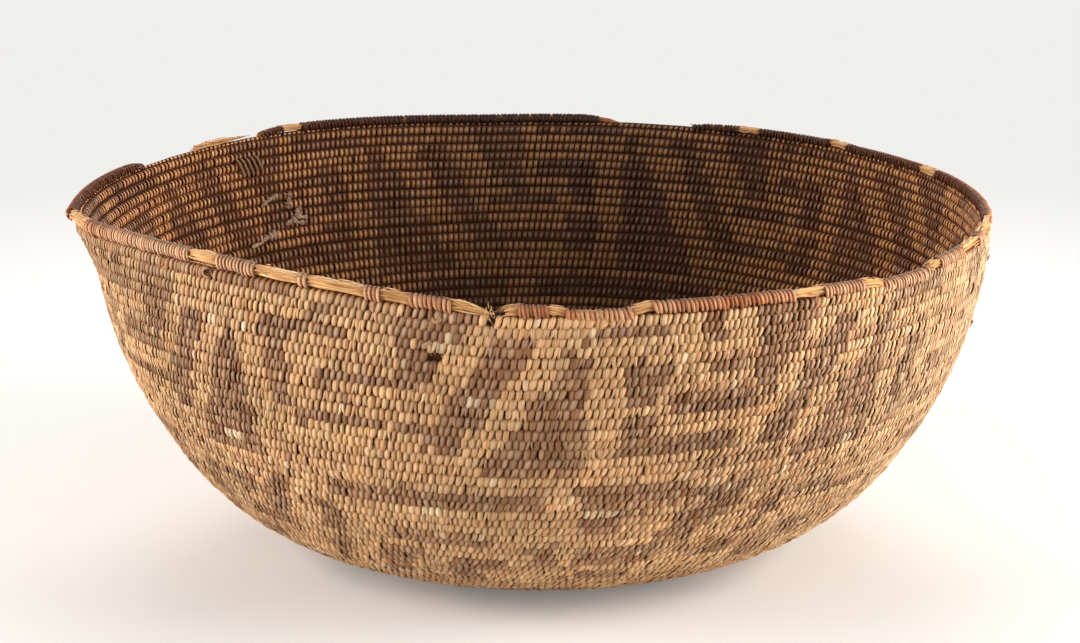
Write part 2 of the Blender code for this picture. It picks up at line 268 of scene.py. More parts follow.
def add_strands(name, points, material, attributes=None):
    """A mesh of closed strands. points has the shape strands, rings, corners, 3.

    attributes holds a number for each strand, for each ring of each strand, or for every point.
    """
    count, rings, corners = points.shape[:3]
    sides, ends = strand_faces(count, rings, corners)
    loops = np.concatenate([sides.reshape(count, -1), ends.reshape(count, -1)], axis=1)
    side, end, cell, cells = strand_maps(count, rings, corners)
    strand_map = np.concatenate([side, end])
    totals = np.concatenate([np.full(sides.shape[1], 4), np.full(2, corners)])
    # Where the first strand's volume comes out below zero, its faces look inwards and are turned
    strand = points[0].reshape(-1, 3)
    a, b, c, d = (strand[sides[0, :, k]] for k in range(4))
    if np.einsum("ij,ij->i", a - strand[0], np.cross(c - a, d - b)).sum() < 0:
        starts = np.concatenate([[0], np.cumsum(totals)[:-1]])
        order = np.concatenate([np.arange(s, s + n)[::-1] for s, n in zip(starts, totals)])
        loops = loops[:, order]
        strand_map = strand_map[order]
    mesh = bpy.data.meshes.new(name)
    mesh.vertices.add(count * rings * corners)
    mesh.vertices.foreach_set("co", points.astype(np.float32).ravel())
    mesh.loops.add(loops.size)
    mesh.loops.foreach_set("vertex_index", loops.astype(np.int32).ravel())
    all_totals = np.tile(totals, count)
    mesh.polygons.add(len(all_totals))
    mesh.polygons.foreach_set("loop_start", (np.cumsum(all_totals) - all_totals).astype(np.int32))
    mesh.update(calc_edges=True)
    splint = mesh.uv_layers.new(name="splint")
    splint.data.foreach_set("uv", np.tile(strand_map, (count, 1)).astype(np.float32).ravel())
    bake = mesh.uv_layers.new(name="OFBake")
    in_cell = (cell + CELL_MARGIN + (1 - 2 * CELL_MARGIN) * strand_map[None]) / cells
    bake.data.foreach_set("uv", in_cell.astype(np.float32).ravel())
    for key, values in (attributes or {}).items():
        values = np.asarray(values, float)
        values = values.reshape(values.shape + (1,) * (3 - values.ndim))
        full = np.broadcast_to(values, (count, rings, corners))
        layer = mesh.attributes.new(key, "FLOAT", "POINT")
        layer.data.foreach_set("value", full.astype(np.float32).ravel())
    mesh.shade_smooth()
    mesh.materials.append(material)
    piece = in_scene(name, mesh)
    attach(piece, "root")
    mesh.update()
    triangles = count * ((rings - 1) * corners * 2 + 2 * (corners - 2))
    print(f"{name}: {count} strands, {triangles} triangles")
    return piece


def corner_angles(corners):
    """The angles of a ring's corners, even round the circle."""
    return np.linspace(0, math.tau, corners, endpoint=False)


def tubes(middle, wide, across, high, rising, corners):
    """Rings round a line of places, for add_strands.

    A corner stands off its place by its angle's cosine times the half width along one direction,
    and its sine times the half height along the other.
    """
    angle = corner_angles(corners)
    sideways = (np.asarray(wide)[..., None] * np.cos(angle))[..., None] * across[..., None, :]
    upwards = (np.asarray(high)[..., None] * np.sin(angle))[..., None] * rising[..., None, :]
    return middle[..., None, :] + sideways + upwards


# %% [markdown]
# A basket's colour is hardly ever even. Each splint was split from another shoot, sun has bleached
# the outside, and hands and food have darkened the inside, where a painted shade darkens it further,
# most at the back. So one material serves all the sewing, and reads from each stitch whether it is
# dark or pale, how light its splint is, whether a point lies outside or inside, how deep in the gaps
# it sits, for dirt and painted shade there, and how bright a painted highlight its crown has.

# %% Helpers for materials
def linear(red, green, blue):
    """A colour written as on a screen, from 0 to 255, in the shader's own scale."""
    share = np.array([red, green, blue]) / 255
    return (*np.where(share <= 0.04045, share / 12.92, ((share + 0.055) / 1.055) ** 2.4), 1.0)


def new_material(name):
    """A material, its node tree and its shader."""
    material = bpy.data.materials.new(name)
    material.use_nodes = True
    tree = material.node_tree
    shader = tree.nodes["Principled BSDF"]
    return material, tree, shader


def node(tree, kind, **values):
    """A node of this kind, with its settings, and its inputs where a value's name is an input."""
    made = tree.nodes.new(kind)
    for key, value in values.items():
        if key in made.inputs:
            made.inputs[key].default_value = value
        else:
            setattr(made, key, value)
    return made


def attribute(tree, name):
    """A number that each point of the mesh carries."""
    return node(tree, "ShaderNodeAttribute", attribute_name=name).outputs["Fac"]


def plug(tree, value, socket):
    """Gives a socket its value: a link from another socket, or a number or colour of its own."""
    if isinstance(value, bpy.types.NodeSocket):
        tree.links.new(value, socket)
    else:
        socket.default_value = value


def mixed(tree, factor, first, second, blend="MIX"):
    """A colour mix. Factor, first and second are sockets, colours or numbers."""
    mix = node(tree, "ShaderNodeMix", data_type="RGBA", blend_type=blend)
    plug(tree, factor, mix.inputs[0])
    plug(tree, first, mix.inputs[6])
    plug(tree, second, mix.inputs[7])
    return mix.outputs[2]


def maths(tree, operation, first, second):
    """A sum on two numbers, either of them a socket."""
    made = node(tree, "ShaderNodeMath", operation=operation)
    plug(tree, first, made.inputs[0])
    plug(tree, second, made.inputs[1])
    return made.outputs[0]


def multiplied(tree, colour, number):
    """A colour made darker or lighter by a number's socket."""
    grey = node(tree, "ShaderNodeCombineColor")
    for channel in ("Red", "Green", "Blue"):
        plug(tree, number, grey.inputs[channel])
    return mixed(tree, 1.0, colour, grey.outputs["Color"], "MULTIPLY")


def scaled(tree, value, low, high, to_low, to_high):
    """A number carried from one range to another."""
    span = node(tree, "ShaderNodeMapRange")
    plug(tree, value, span.inputs["Value"])
    for key, number in zip(("From Min", "From Max", "To Min", "To Max"), (low, high, to_low, to_high)):
        span.inputs[key].default_value = number
    return span.outputs["Result"]


def fibre_noise(tree, across, along, detail=3.0):
    """Noise drawn out along the splint, on the map that runs along and across each strand."""
    uv = node(tree, "ShaderNodeUVMap", uv_map="splint")
    stretch = node(tree, "ShaderNodeMapping", Scale=(across, along, 1.0))
    plug(tree, uv.outputs["UV"], stretch.inputs["Vector"])
    seed = node(tree, "ShaderNodeCombineXYZ")
    plug(tree, scaled(tree, attribute(tree, "splint_seed"), 0, 1, 0, 97), seed.inputs["Z"])
    shift = node(tree, "ShaderNodeVectorMath", operation="ADD")
    plug(tree, stretch.outputs["Vector"], shift.inputs[0])
    plug(tree, seed.outputs["Vector"], shift.inputs[1])
    noise = node(tree, "ShaderNodeTexNoise", Scale=1.0, Detail=detail, Roughness=0.6)
    plug(tree, shift.outputs["Vector"], noise.inputs["Vector"])
    return noise.outputs["Fac"]


def place_noise(tree, scale):
    """Noise in the object's own space, in features a metre."""
    place = node(tree, "ShaderNodeTexCoord")
    noise = node(tree, "ShaderNodeTexNoise", Scale=scale, Detail=3.0, Roughness=0.6)
    plug(tree, place.outputs["Object"], noise.inputs["Vector"])
    return noise.outputs["Fac"]


def own_shade(tree, colour, darkest, lightest=1.26):
    """The colour at each strand's own shade, which is -1 for the darkest and 1 for the lightest; on the
    bundle it is painted shade.
    """
    return multiplied(tree, colour, scaled(tree, attribute(tree, "tone"), -1, 1, darkest, lightest))


def dirtied_and_shaded(tree, colour, dirt_and_shade, most):
    """The colour with dirt and painted shade over it, as deep as a point sits in the gaps."""
    return mixed(tree, scaled(tree, attribute(tree, "depth"), 0, 1, 0.0, most), colour, dirt_and_shade)


def finish(tree, shader, colour, rough, gloss, relief, strength, depth):
    """Joins a colour, a roughness, a gloss and a fine relief to the shader."""
    plug(tree, colour, shader.inputs["Base Color"])
    plug(tree, rough, shader.inputs["Roughness"])
    plug(tree, gloss, shader.inputs["Specular IOR Level"])
    bump = node(tree, "ShaderNodeBump", Strength=strength, Distance=depth)
    plug(tree, relief, bump.inputs["Height"])
    plug(tree, bump.outputs["Normal"], shader.inputs["Normal"])


# %% The sewing's material
PALE_OUTSIDE = linear(226, 177, 122)
ROSY_OUTSIDE = linear(206, 151, 104)
DARK_OUTSIDE = linear(146, 99, 66)
PALE_INSIDE = linear(212, 148, 88)
ROSY_INSIDE = linear(208, 138, 88)
DARK_INSIDE = linear(98, 54, 39)
# Painted highlights on the stitches' crowns, outside and inside
CROWN_HIGHLIGHT_OUTSIDE = linear(250, 222, 186)
CROWN_HIGHLIGHT_INSIDE = linear(228, 190, 158)
BLACK_SPLINT = linear(44, 34, 28)
BLEACHED = linear(252, 226, 184)
# Dirt and painted shade in the gaps between stitches, outside and inside
GAP_DIRT_AND_SHADE = linear(146, 78, 24)
INSIDE_DIRT_AND_SHADE = linear(132, 76, 46)


def sewing_material():
    """Splints, dry and bleached outside, rubbed and darker inside, with dirt and painted shade in the gaps
    and painted highlights.
    """
    material, tree, shader = new_material("sewn_splints")
    outside = attribute(tree, "outside")
    sunned = mixed(tree, attribute(tree, "rosy"), PALE_OUTSIDE, ROSY_OUTSIDE)
    rubbed_pale = mixed(tree, attribute(tree, "rosy"), PALE_INSIDE, ROSY_INSIDE)
    pale = mixed(tree, outside, rubbed_pale, sunned)
    dark = mixed(tree, outside, DARK_INSIDE, DARK_OUTSIDE)
    colour = mixed(tree, attribute(tree, "dark"), pale, dark)
    colour = mixed(tree, attribute(tree, "black"), colour, BLACK_SPLINT)
    colour = mixed(tree, attribute(tree, "bleached"), colour, BLEACHED)
    # A painted highlight on each stitch's crown
    crown = mixed(tree, outside, CROWN_HIGHLIGHT_INSIDE, CROWN_HIGHLIGHT_OUTSIDE)
    colour = mixed(tree, attribute(tree, "crown"), colour, crown)
    # Each splint's own shade, and broad stains over many stitches
    colour = own_shade(tree, colour, 0.70)
    stain = scaled(tree, place_noise(tree, 16.0), 0.3, 0.7, 0.86, 1.12)
    colour = multiplied(tree, colour, stain)
    # Fine fibres along the splint, dirt and painted shade in the gaps, and the inside's painted shade,
    # deepest at the back and darker towards the bottom
    streak = fibre_noise(tree, 9.0, 1.1, 4.0)
    colour = multiplied(tree, colour, scaled(tree, streak, 0.3, 0.7, 0.66, 1.26))
    colour = dirtied_and_shaded(tree, colour, mixed(tree, outside, INSIDE_DIRT_AND_SHADE, GAP_DIRT_AND_SHADE), 0.85)
    # The inside's painted shade, deepest at the back and darker towards the bottom
    colour = multiplied(tree, colour, attribute(tree, "rubbed"))
    rough = scaled(tree, outside, 0, 1, 0.40, 0.66)
    finish(tree, shader, colour, rough, 0.32, streak, 0.45, 0.0003)
    return material


SEWN = sewing_material()
print(SEWN.name, "is made with", len(SEWN.node_tree.nodes), "nodes")


# %% The bundle's and the rim's materials
PLAIN_RIM_INSIDE = linear(96, 50, 32)
PLAIN_RIM_OUTSIDE = linear(244, 188, 138)
RED_RIM_INSIDE = linear(100, 46, 26)
RED_RIM_OUTSIDE = linear(184, 106, 64)
# Pinkish white where the skin is worn off, and the colour of the painted sheen on the ribs
WORN_RIM_AND_SHEEN = linear(246, 216, 190)


def stem_material(name, pale, deep, rough, darkest=0.7):
    """Split stems: streaks along each stem, with darker weathering here and there, and dirt and painted
    shade where they lie in the gaps.
    """
    material, tree, shader = new_material(name)
    streak = fibre_noise(tree, 5.0, 30.0, 4.0)
    colour = mixed(tree, scaled(tree, streak, 0.35, 0.65, 0.0, 1.0), deep, pale)
    colour = dirtied_and_shaded(tree, own_shade(tree, colour, darkest, 1.25), GAP_DIRT_AND_SHADE, 0.85)
    finish(tree, shader, colour, rough, 0.3, streak, 0.4, 0.0004)
    return material


def binding_material():
    """Rim splints: brown, redder in places, greyer and paler outside, rubbed to a low shine, with worn
    skin and a painted sheen in patches.
    """
    material, tree, shader = new_material("rim_splints")
    outside = attribute(tree, "outside")
    plain = mixed(tree, outside, PLAIN_RIM_INSIDE, PLAIN_RIM_OUTSIDE)
    red = mixed(tree, outside, RED_RIM_INSIDE, RED_RIM_OUTSIDE)
    colour = mixed(tree, attribute(tree, "reddish"), plain, red)
    streak = fibre_noise(tree, 12.0, 1.2, 4.0)
    fine = scaled(tree, streak, 0.3, 0.7, 0.74, 1.18)
    colour = multiplied(tree, own_shade(tree, colour, 0.72), fine)
    # The skin has worn off in patches along the top, where the splint is pinkish white, and the same
    # patches paint a sheen on the ribs
    patches = scaled(tree, fibre_noise(tree, 5.0, 2.6), 0.42, 0.62, 0.0, 1.0)
    worn_and_sheen = maths(tree, "MULTIPLY", patches, attribute(tree, "worn_and_sheen"))
    colour = dirtied_and_shaded(tree, mixed(tree, worn_and_sheen, colour, WORN_RIM_AND_SHEEN), GAP_DIRT_AND_SHADE, 0.9)
    colour = multiplied(tree, colour, attribute(tree, "rubbed"))
    finish(tree, shader, colour, 0.52, 0.25, streak, 0.3, 0.0003)
    return material


# The bundle is dark brown: its dirt, and painted shade for the slits between the stitches
FOUNDATION = stem_material("bundle_in_the_gaps", linear(118, 66, 34), linear(72, 38, 18), 0.9, 0.2)
GOLDEN = stem_material("bare_split_stems", linear(255, 216, 150), linear(216, 142, 74), 0.5)
BINDING = binding_material()
MENDING = stem_material("mending_strands", linear(178, 140, 106), linear(112, 80, 54), 0.7)
LOOSENED = stem_material("loosened_splints", linear(222, 180, 134), linear(160, 114, 78), 0.7)
SMEARED = stem_material("dried_residue", linear(190, 156, 126), linear(126, 98, 74), 0.8)
print("materials:", ", ".join(material.name for material in bpy.data.materials))

# %% [markdown]
# The fret was sewn by counting stitches, so it is written down here as a sewing chart: strokes in
# dark splint on a pale ground. In the upper band a key and two slanting stripes come nine times
# round the bowl, each time a little different, as the maker's hand made them. Below it a second
# band of bars and stripes runs down to the foot. No stroke is painted: each stitch asks the chart
# once whether its splint is dark.

# %% The sewing chart
# A key's strokes: from and to across the repeat, from and to in rounds below the rim's top
NARROW_KEY = (
    (-0.02, 0.22, 1.4, 2.7),
    (0.23, 0.31, 0.8, 2.7),
    (0.09, 0.31, 4.8, 6.6),
    (0.09, 0.185, 6.6, 9.6),
    (0.24, 0.50, 8.4, 10.0),
    (0.09, 0.20, 10.4, 14.2),
    (0.20, 0.54, 12.4, 13.7),
)
WIDE_KEY = (
    (-0.02, 0.22, 1.7, 2.8),
    (0.32, 0.38, 0.8, 3.3),
    (0.09, 0.24, 5.1, 6.7),
    (0.09, 0.18, 6.7, 8.7),
    (0.34, 0.46, 5.6, 6.4),
    (0.22, 0.54, 8.4, 10.1),
    (0.09, 0.19, 9.8, 12.3),
    (0.09, 0.44, 12.4, 13.8),
)
LOW_KEY = (
    (0.08, 0.36, 2.6, 3.9),
    (0.25, 0.31, 0.8, 2.4),
    (0.085, 0.16, 4.8, 10.4),
    (0.24, 0.49, 6.3, 8.0),
    (0.14, 0.44, 10.3, 12.0),
    (0.47, 0.66, 10.5, 11.8),
)
RIGHT_KEY = (
    (-0.04, 0.25, 0.8, 2.5),
    (0.07, 0.18, 6.2, 14.4),
    (0.25, 0.44, 9.4, 10.7),
    (0.18, 0.46, 12.7, 14.2),
)
# The upper band's repeats: the azimuth of each pale upright, its key, and how wide the key is
UPPER_REPEATS = (
    (-75.0, LOW_KEY, 1.0),
    (-38.5, LOW_KEY, 1.0),
    (6.0, WIDE_KEY, 1.0),
    (47.0, RIGHT_KEY, 0.8),
    (87.0, NARROW_KEY, 0.5),
    (130.5, NARROW_KEY, 0.0),
    (168.0, NARROW_KEY, 0.0),
    (207.0, NARROW_KEY, 0.0),
    (246.0, NARROW_KEY, 0.5),
)
# The slanting stripes' edges across a repeat, beside a narrow and a wide key, and their drift
NARROW_STRIPES = (0.37, 0.55, 0.69, 0.80, 0.94)
WIDE_STRIPES = (0.49, 0.66, 0.75, 0.86, 0.967)
STRIPE_DRIFT = 0.022

# The lower band: from and to in azimuth, from and to in rounds, drift to the left a round
LOWER_STROKES = (
    (5, 19, 17.2, 18.4, 0),
    (5, 28.5, 18.4, 20.0, 0.7),
    (8, 12, 20.0, 21.0, 0),
    (18, 25.5, 19.9, 25.2, 1.2),
    (5, 11, 20.9, 23.4, 0),
    (5, 18, 24.9, 28.0, 0),
    (5, 14.5, 28.9, 30.8, 0),
    (31, 35, 20.6, 25.4, 0.5),
    (34, 45, 19.9, 21.4, 0),
    (26, 31, 26.2, 28.0, 1.0),
    (32, 40, 28.4, 30.4, 1.0),
    (39.5, 46, 25.0, 26.4, 0),
    (45, 54, 20.5, 21.8, 0),
    (-30, 0.5, 18.0, 20.0, 0),
    (-23, -6, 23.0, 24.8, 0),
    (-2, 2, 24.8, 28.2, 0),
    (-14.5, -6, 27.0, 29.0, 0),
    (-15, -10, 29.0, 31.6, 0),
    (-27, -21, 26.2, 32.0, 0.7),
    (-34, -30, 21.0, 25.2, 0.2),
    (-44, -36.5, 18.4, 20.0, 0.7),
    (-45, -40, 20.0, 26.0, 0.9),
    (-37, -33, 26.0, 31.5, 1.0),
)
LOWER_REPEAT = 90
# At the front right the strokes run on past the end of their repeat by this much
RUN_ON = 12
# Where the foot's bend lies, and where the black-sewn start begins, in rounds down
FOOT_DOWN = 33.0
BLACK_START_DOWN = 55.5


def upper_band(azimuth, down):
    """True where a stroke of the upper band lies; x runs from 0 to 1 across each repeat."""
    lefts = np.array([repeat[0] for repeat in UPPER_REPEATS])
    wide = np.array([repeat[2] for repeat in UPPER_REPEATS])
    azimuth = (azimuth - lefts[0]) % 360 + lefts[0]
    which = np.searchsorted(lefts, azimuth, side="right") - 1
    widths = np.diff(np.append(lefts, lefts[0] + 360))
    x = (azimuth - lefts[which]) / widths[which]
    dark = np.zeros(x.shape, bool)
    for number, (_, key, _) in enumerate(UPPER_REPEATS):
        here = which == number
        for first, last, top, bottom in key:
            dark |= here & (x >= first) & (x < last) & (down >= top) & (down < bottom)
    slanted = x + STRIPE_DRIFT * (down - 3)
    # Between the stripes' edges: the first is upright on its left, and the last on its right
    edges = [n + wide[which] * (w - n) for n, w in zip(NARROW_STRIPES, WIDE_STRIPES)]
    dark |= (x >= edges[0]) & (slanted < edges[1]) & (down < 8.2)
    dark |= (slanted >= edges[2]) & (slanted < edges[3]) & (down >= 2.7) & (down < 13.5)
    dark |= (slanted >= edges[4]) & (x < 0.985) & (down >= 2.7) & (down < 16.2)
    return dark & (down > 0.8) & (down < 16.5)


def lower_band(azimuth, down):
    """True where a stroke of the lower band lies: the same strokes come four times round."""
    half = LOWER_REPEAT / 2
    wrapped = (azimuth + half) % LOWER_REPEAT - half
    wrapped = np.where((azimuth > half) & (azimuth < half + RUN_ON), azimuth, wrapped)
    dark = np.zeros(wrapped.shape, bool)
    for first, last, top, bottom, drift in LOWER_STROKES:
        shifted = wrapped + drift * (down - (top + bottom) / 2)
        dark |= (shifted >= first) & (shifted < last) & (down >= top) & (down < bottom)
    return dark


def foot_rays(azimuth, down):
    """True where the base's dark rays lie: eight bent rays between the foot and the start."""
    swirl = (azimuth + 3.0 * (down - FOOT_DOWN)) % 45
    return (swirl < 17) & (down > FOOT_DOWN + 2) & (down < BLACK_START_DOWN - 5)


def from_front(azimuth):
    """Azimuths in degrees from -180 to 180, with the front in the middle."""
    return (azimuth + 180) % 360 - 180


def is_dark(azimuth, down):
    """The chart's answer for each stitch, by azimuth in degrees and rounds below the rim."""
    azimuth = from_front(azimuth)
    return upper_band(azimuth, down) | lower_band(azimuth, down) | foot_rays(azimuth, down)


print(len(UPPER_REPEATS), "repeats in the upper band,", len(LOWER_STROKES), "strokes in the lower one")

# %% [markdown]
# The maker put each stitch through the gap between two stitches of the round below. That is why
# the stitches stand in slanting files, and why, as the rounds grow longer, two stitches now and
# then share one gap. The places are found in the same way here, round after round, and then eased
# apart along the coil, so that no stitch is crowded.

# %% Where the stitches are
# From stitch to stitch, and how far a stitch stands beyond the gap below it, in metres
STITCH_STEP = 0.0031
STITCH_LEAN = 0.0009
FIRST_STITCHES = 16
# How far, in stitches, the maker's eye strays from the count that the length asks for
STRAYING = 0.35
# How many times the places of a round are eased apart
EASING = 60
chance = np.random.default_rng(7)


def round_length(turn):
    """Length of one round of the coil at this turn."""
    return math.tau * np.interp(coil_place(turn)[0], ALONG, RADII)


def shared_gaps(gaps):
    """The gaps, with those twice that two stitches share.

    The count that the coil's length asks for is set against the count so far, and where it runs
    ahead by one more stitch, the gap there is used twice.
    """
    wanted = np.cumsum(np.gradient(gaps) * round_length(gaps + 1)) / STITCH_STEP
    ahead = wanted - wanted[0] - np.arange(len(gaps)) + chance.normal(0, STRAYING, len(gaps))
    used_twice = np.diff(np.maximum.accumulate(np.clip(np.round(ahead), 0, None)), prepend=0)
    return np.repeat(gaps, 1 + np.clip(used_twice, 0, 1).astype(int))


def eased(turns, passes):
    """The turns, each moved towards the middle of its neighbours, this many times."""
    for _ in range(passes):
        turns[1:-1] = 0.25 * turns[:-2] + 0.5 * turns[1:-1] + 0.25 * turns[2:]
    return turns


def stitch_turns():
    """Turns of all stitches, and of the gaps below them that their outer tips sit in."""
    turns = np.arange(START_TURN, START_TURN + 1, 1 / FIRST_STITCHES)
    tips = turns - STITCH_LEAN / round_length(turns + 1)
    first = 0
    while turns[-1] < END_TURN:
        gaps = shared_gaps((turns[first:-1] + turns[first + 1:]) / 2)
        first = len(turns) - 1
        above = gaps + 1
        placed = eased(above + STITCH_LEAN / round_length(above), EASING)
        turns = np.concatenate([turns, placed])
        tips = np.concatenate([tips, above])
    turns = eased(turns, EASING // 2)
    kept = turns < END_TURN
    return turns[kept], tips[kept]


TURNS, TIPS = stitch_turns()
spacing = np.gradient(TURNS) * round_length(TURNS)
print(f"{len(TURNS)} stitches, {spacing.min() * 1000:.1f} to {spacing.max() * 1000:.1f} mm apart")

# %% [markdown]
# One stitch is a band that comes out of the round below, goes up over the outside of its own
# round, across the top and down the inside. Outside it is a long grain, whose lower tip lies
# between two grains of the round below, and inside it is a short upright kernel. Its path is a
# small table of heights and depths in the wall's own directions, and its section a low roof with
# a ridge, so eleven rings of four points are enough, and the light rolls over it. No two are alike:
# width, lean, length and roundness differ, and some splints have split in two.

# %% One stitch
# For each ring: up the wall in rounds, out of it in metres, half width in steps, share of the
# lean, dirt and painted shade, 1 outside and 0 inside, how bright a painted highlight its crown
# has, and how far open a split is
STITCH_RINGS = np.array([
    (-0.90, 0.00190, 0.15, -1.00, 1.00, 1.0, 0.0, 1.0),
    (-0.72, 0.00285, 0.36, -0.78, 0.22, 1.0, 0.0, 1.0),
    (-0.34, 0.00320, 0.47, -0.36, 0.00, 1.0, 0.8, 1.0),
    (0.06, 0.00318, 0.49, 0.06, 0.00, 1.0, 1.0, 0.8),
    (0.36, 0.00255, 0.47, 0.34, 0.15, 1.0, 0.5, 0.5),
    (0.54, 0.00050, 0.39, 0.50, 0.85, 0.5, 0.0, 0.2),
    (0.46, -0.00175, 0.33, 0.60, 0.60, 0.0, 0.0, 0.0),
    (0.22, -0.00288, 0.36, 0.72, 0.00, 0.0, 1.0, 0.0),
    (-0.12, -0.00302, 0.38, 0.85, 0.00, 0.0, 0.8, 0.0),
    (-0.42, -0.00230, 0.33, 0.95, 0.50, 0.0, 0.0, 0.0),
    (-0.56, -0.00070, 0.18, 1.05, 1.00, 0.0, 0.0, 0.0),
])
(STITCH_UP, STITCH_OUT, STITCH_HALF, LEAN_SHARE,
 STITCH_DEPTH, STITCH_OUTSIDE, STITCH_HIGHLIGHT, SPLIT_REACH) = STITCH_RINGS.T
# Dirt and painted shade on a stitch's edges, and which of a ring's four points is the ridge
EDGE_DEPTH = 0.18
RIDGE = np.array([0, 1, 0, 0])
# How far the edges and the underside lie below the ridge
EDGE_DROP = 0.00042
BAND_THICKNESS = 0.00075
FOOT_SOFTNESS = 0.0005


def band_points(start, up, out, drift, half, tilt):
    """Rings of four points along bands: left edge, ridge, right edge and underside.

    start holds the place and directions each band is measured in. A ring's place is the start,
    plus its height up the wall, its depth out of it and its drift round the bowl. The ridge
    stands on the path, the edges lie lower, one of them a little more by the band's tilt, and
    every drop is square to the path.
    """
    middle, outward, upward, around = (part[:, None, None, :] for part in start)
    forward_up = np.gradient(up, axis=1)
    forward_out = np.gradient(out, axis=1)
    length = np.hypot(forward_up, forward_out)
    normal_up = -forward_out / length
    normal_out = forward_up / length
    across = np.array([-1.0, 0.0, 1.0, 0.0])
    drop = np.array([EDGE_DROP, 0.0, EDGE_DROP, BAND_THICKNESS])
    drop = drop + tilt[:, None, None] * np.array([1.0, 0.0, -1.0, 0.0])
    up = up[..., None] - normal_up[..., None] * drop
    out = out[..., None] - normal_out[..., None] * drop
    drift = drift[..., None] + half[..., None] * across
    return middle + up[..., None] * upward + out[..., None] * outward + drift[..., None] * around


def rest_on_floor(points):
    """The foot is worn flat: what would reach below the floor is pressed up, softly."""
    low = points[..., 2]
    pressed = FOOT_SOFTNESS * np.exp((low - FOOT_SOFTNESS) / FOOT_SOFTNESS)
    points[..., 2] = np.where(low < FOOT_SOFTNESS, pressed, low)
    return points


# %% [markdown]
# A splint lasts for some fifteen stitches, then the next one begins. So the shade changes in short
# runs along the coil and not from stitch to stitch, with a little unevenness on top. Here and
# there a few stitches have lost their skin and are bleached to a cream. At the front left the
# rounds under the rim have weathered brown, and at the worn places stitches are missing.

# %% What every stitch is like
# Worn places where stitches are gone: azimuths, and rounds below the rim's top
LOST_STITCHES = (
    (-43.2, -41.4, 1.0, 2.1),
    (-13.0, -10.9, 4.3, 5.2),
    (-6.2, -5.2, 0.5, 1.5),
    (-51.2, -50.4, 1.6, 2.4),
    (-68.0, -67.2, 3.2, 4.0),
    (33.0, 33.6, 1.4, 2.2),
)
# How bright the inside is left: painted shade by azimuth, deepest at the back, and darker towards the
# bottom by rounds down
INSIDE_PAINTED_SHADE_AROUND = (
    (0, 0.66), (60, 1.0), (100, 1.2), (125, 1.0), (150, 0.50), (172, 0.34), (192, 0.38),
    (210, 0.68), (228, 1.05), (250, 1.3), (275, 1.3), (310, 0.9), (360, 0.66),
)
INSIDE_DARKER_DOWN = ((0, 1.0), (8, 1.0), (16, 0.96), (24, 0.92), (60, 0.8))
# How far the dark has kept its colour outside: by rounds down, and by azimuth, less at the sides
KEPT_DARK_DOWN = ((14, 1.0), (24, 0.88))
KEPT_DARK_AROUND = ((-85, 0.75), (-50, 1.0), (32, 1.0), (62, 0.78), (110, 0.78), (150, 0.9))
# How far the sun has bleached the right
SUNNED_AROUND = ((30, 0.0), (70, 0.18), (110, 0.18), (150, 0.0))
# Rounds under the rim that have weathered brown: azimuths, and rounds below the rim's top
WEATHERED = (
    (-92, -50, 0.9, 4.6),
    (-50, -29, 0.9, 2.0),
    (-26, -16, 0.9, 2.4),
)
# Short runs that have lost their skin: azimuths, and rounds down on the chart
BLEACHED_RUNS = (
    (3.6, 10.6, 20.2, 21.2),
    (42.0, 44.5, 14.6, 15.4),
    (-47.0, -43.0, 15.0, 16.0),
    (-18.0, -14.0, 20.3, 21.3),
    (2.4, 4.2, 10.6, 11.4),
    (9.3, 11.2, 10.6, 11.4),
    (-43.4, -41.8, 3.6, 4.6),
    (-38.4, -36.8, 3.6, 4.6),
    (-13.4, -10.6, 3.3, 4.3),
    (-8.6, -5.0, 8.4, 9.4),
)


# The share of splints and of single stitches that are bleached, and how far
BLEACHED_SPLINTS = 0.015
BLEACHED_STITCHES = 0.008
LITTLE_BLEACHED = 0.5
MORE_BLEACHED = 0.55
# How far the maker's eye wanders in degrees, and the share of stitches in the wrong colour
WANDER = 0.33
MISCOUNTED = 0.008


def now_and_then(share):
    """True for this share of the stitches, picked at random."""
    return chance.random(len(TURNS)) > 1 - share


def splint_runs(count, shortest, longest):
    """The number of the splint that each stitch is sewn with."""
    lengths = chance.integers(shortest, longest, size=count)
    return np.repeat(np.arange(count), lengths)[:count]


def within(box, azimuth, down):
    """True in a box on the wall: from and to in azimuth, from and to in rounds down."""
    first, last, top, bottom = box
    return (azimuth > first) & (azimuth < last) & (down > top) & (down < bottom)


def not_lost(azimuth, down):
    """True for the stitches that are still there."""
    return ~np.any([within(box, from_front(azimuth), down) for box in LOST_STITCHES], axis=0)


def from_table(table, place):
    """The value at a place in a table of places and values, in straight lines between its rows."""
    places, values = np.transpose(table)
    return np.interp(place, places, values)


def inside_darkening(azimuth, down):
    """The inside's brightness at each azimuth in degrees and depth: painted shade round the bowl, deepest
    at the back, and darker towards the bottom.
    """
    return from_table(INSIDE_PAINTED_SHADE_AROUND, azimuth % 360) * from_table(INSIDE_DARKER_DOWN, down)


def in_runs(values, shortest, longest):
    """The values in runs along the coil: each held for a few stitches, as one splint lasts."""
    return values[splint_runs(len(values), shortest, longest)]


azimuths = np.degrees(math.tau * TURNS + math.pi)
front_azimuths = from_front(azimuths)
downs = (ALONG[-1] - coil_along(TURNS)) / PITCH
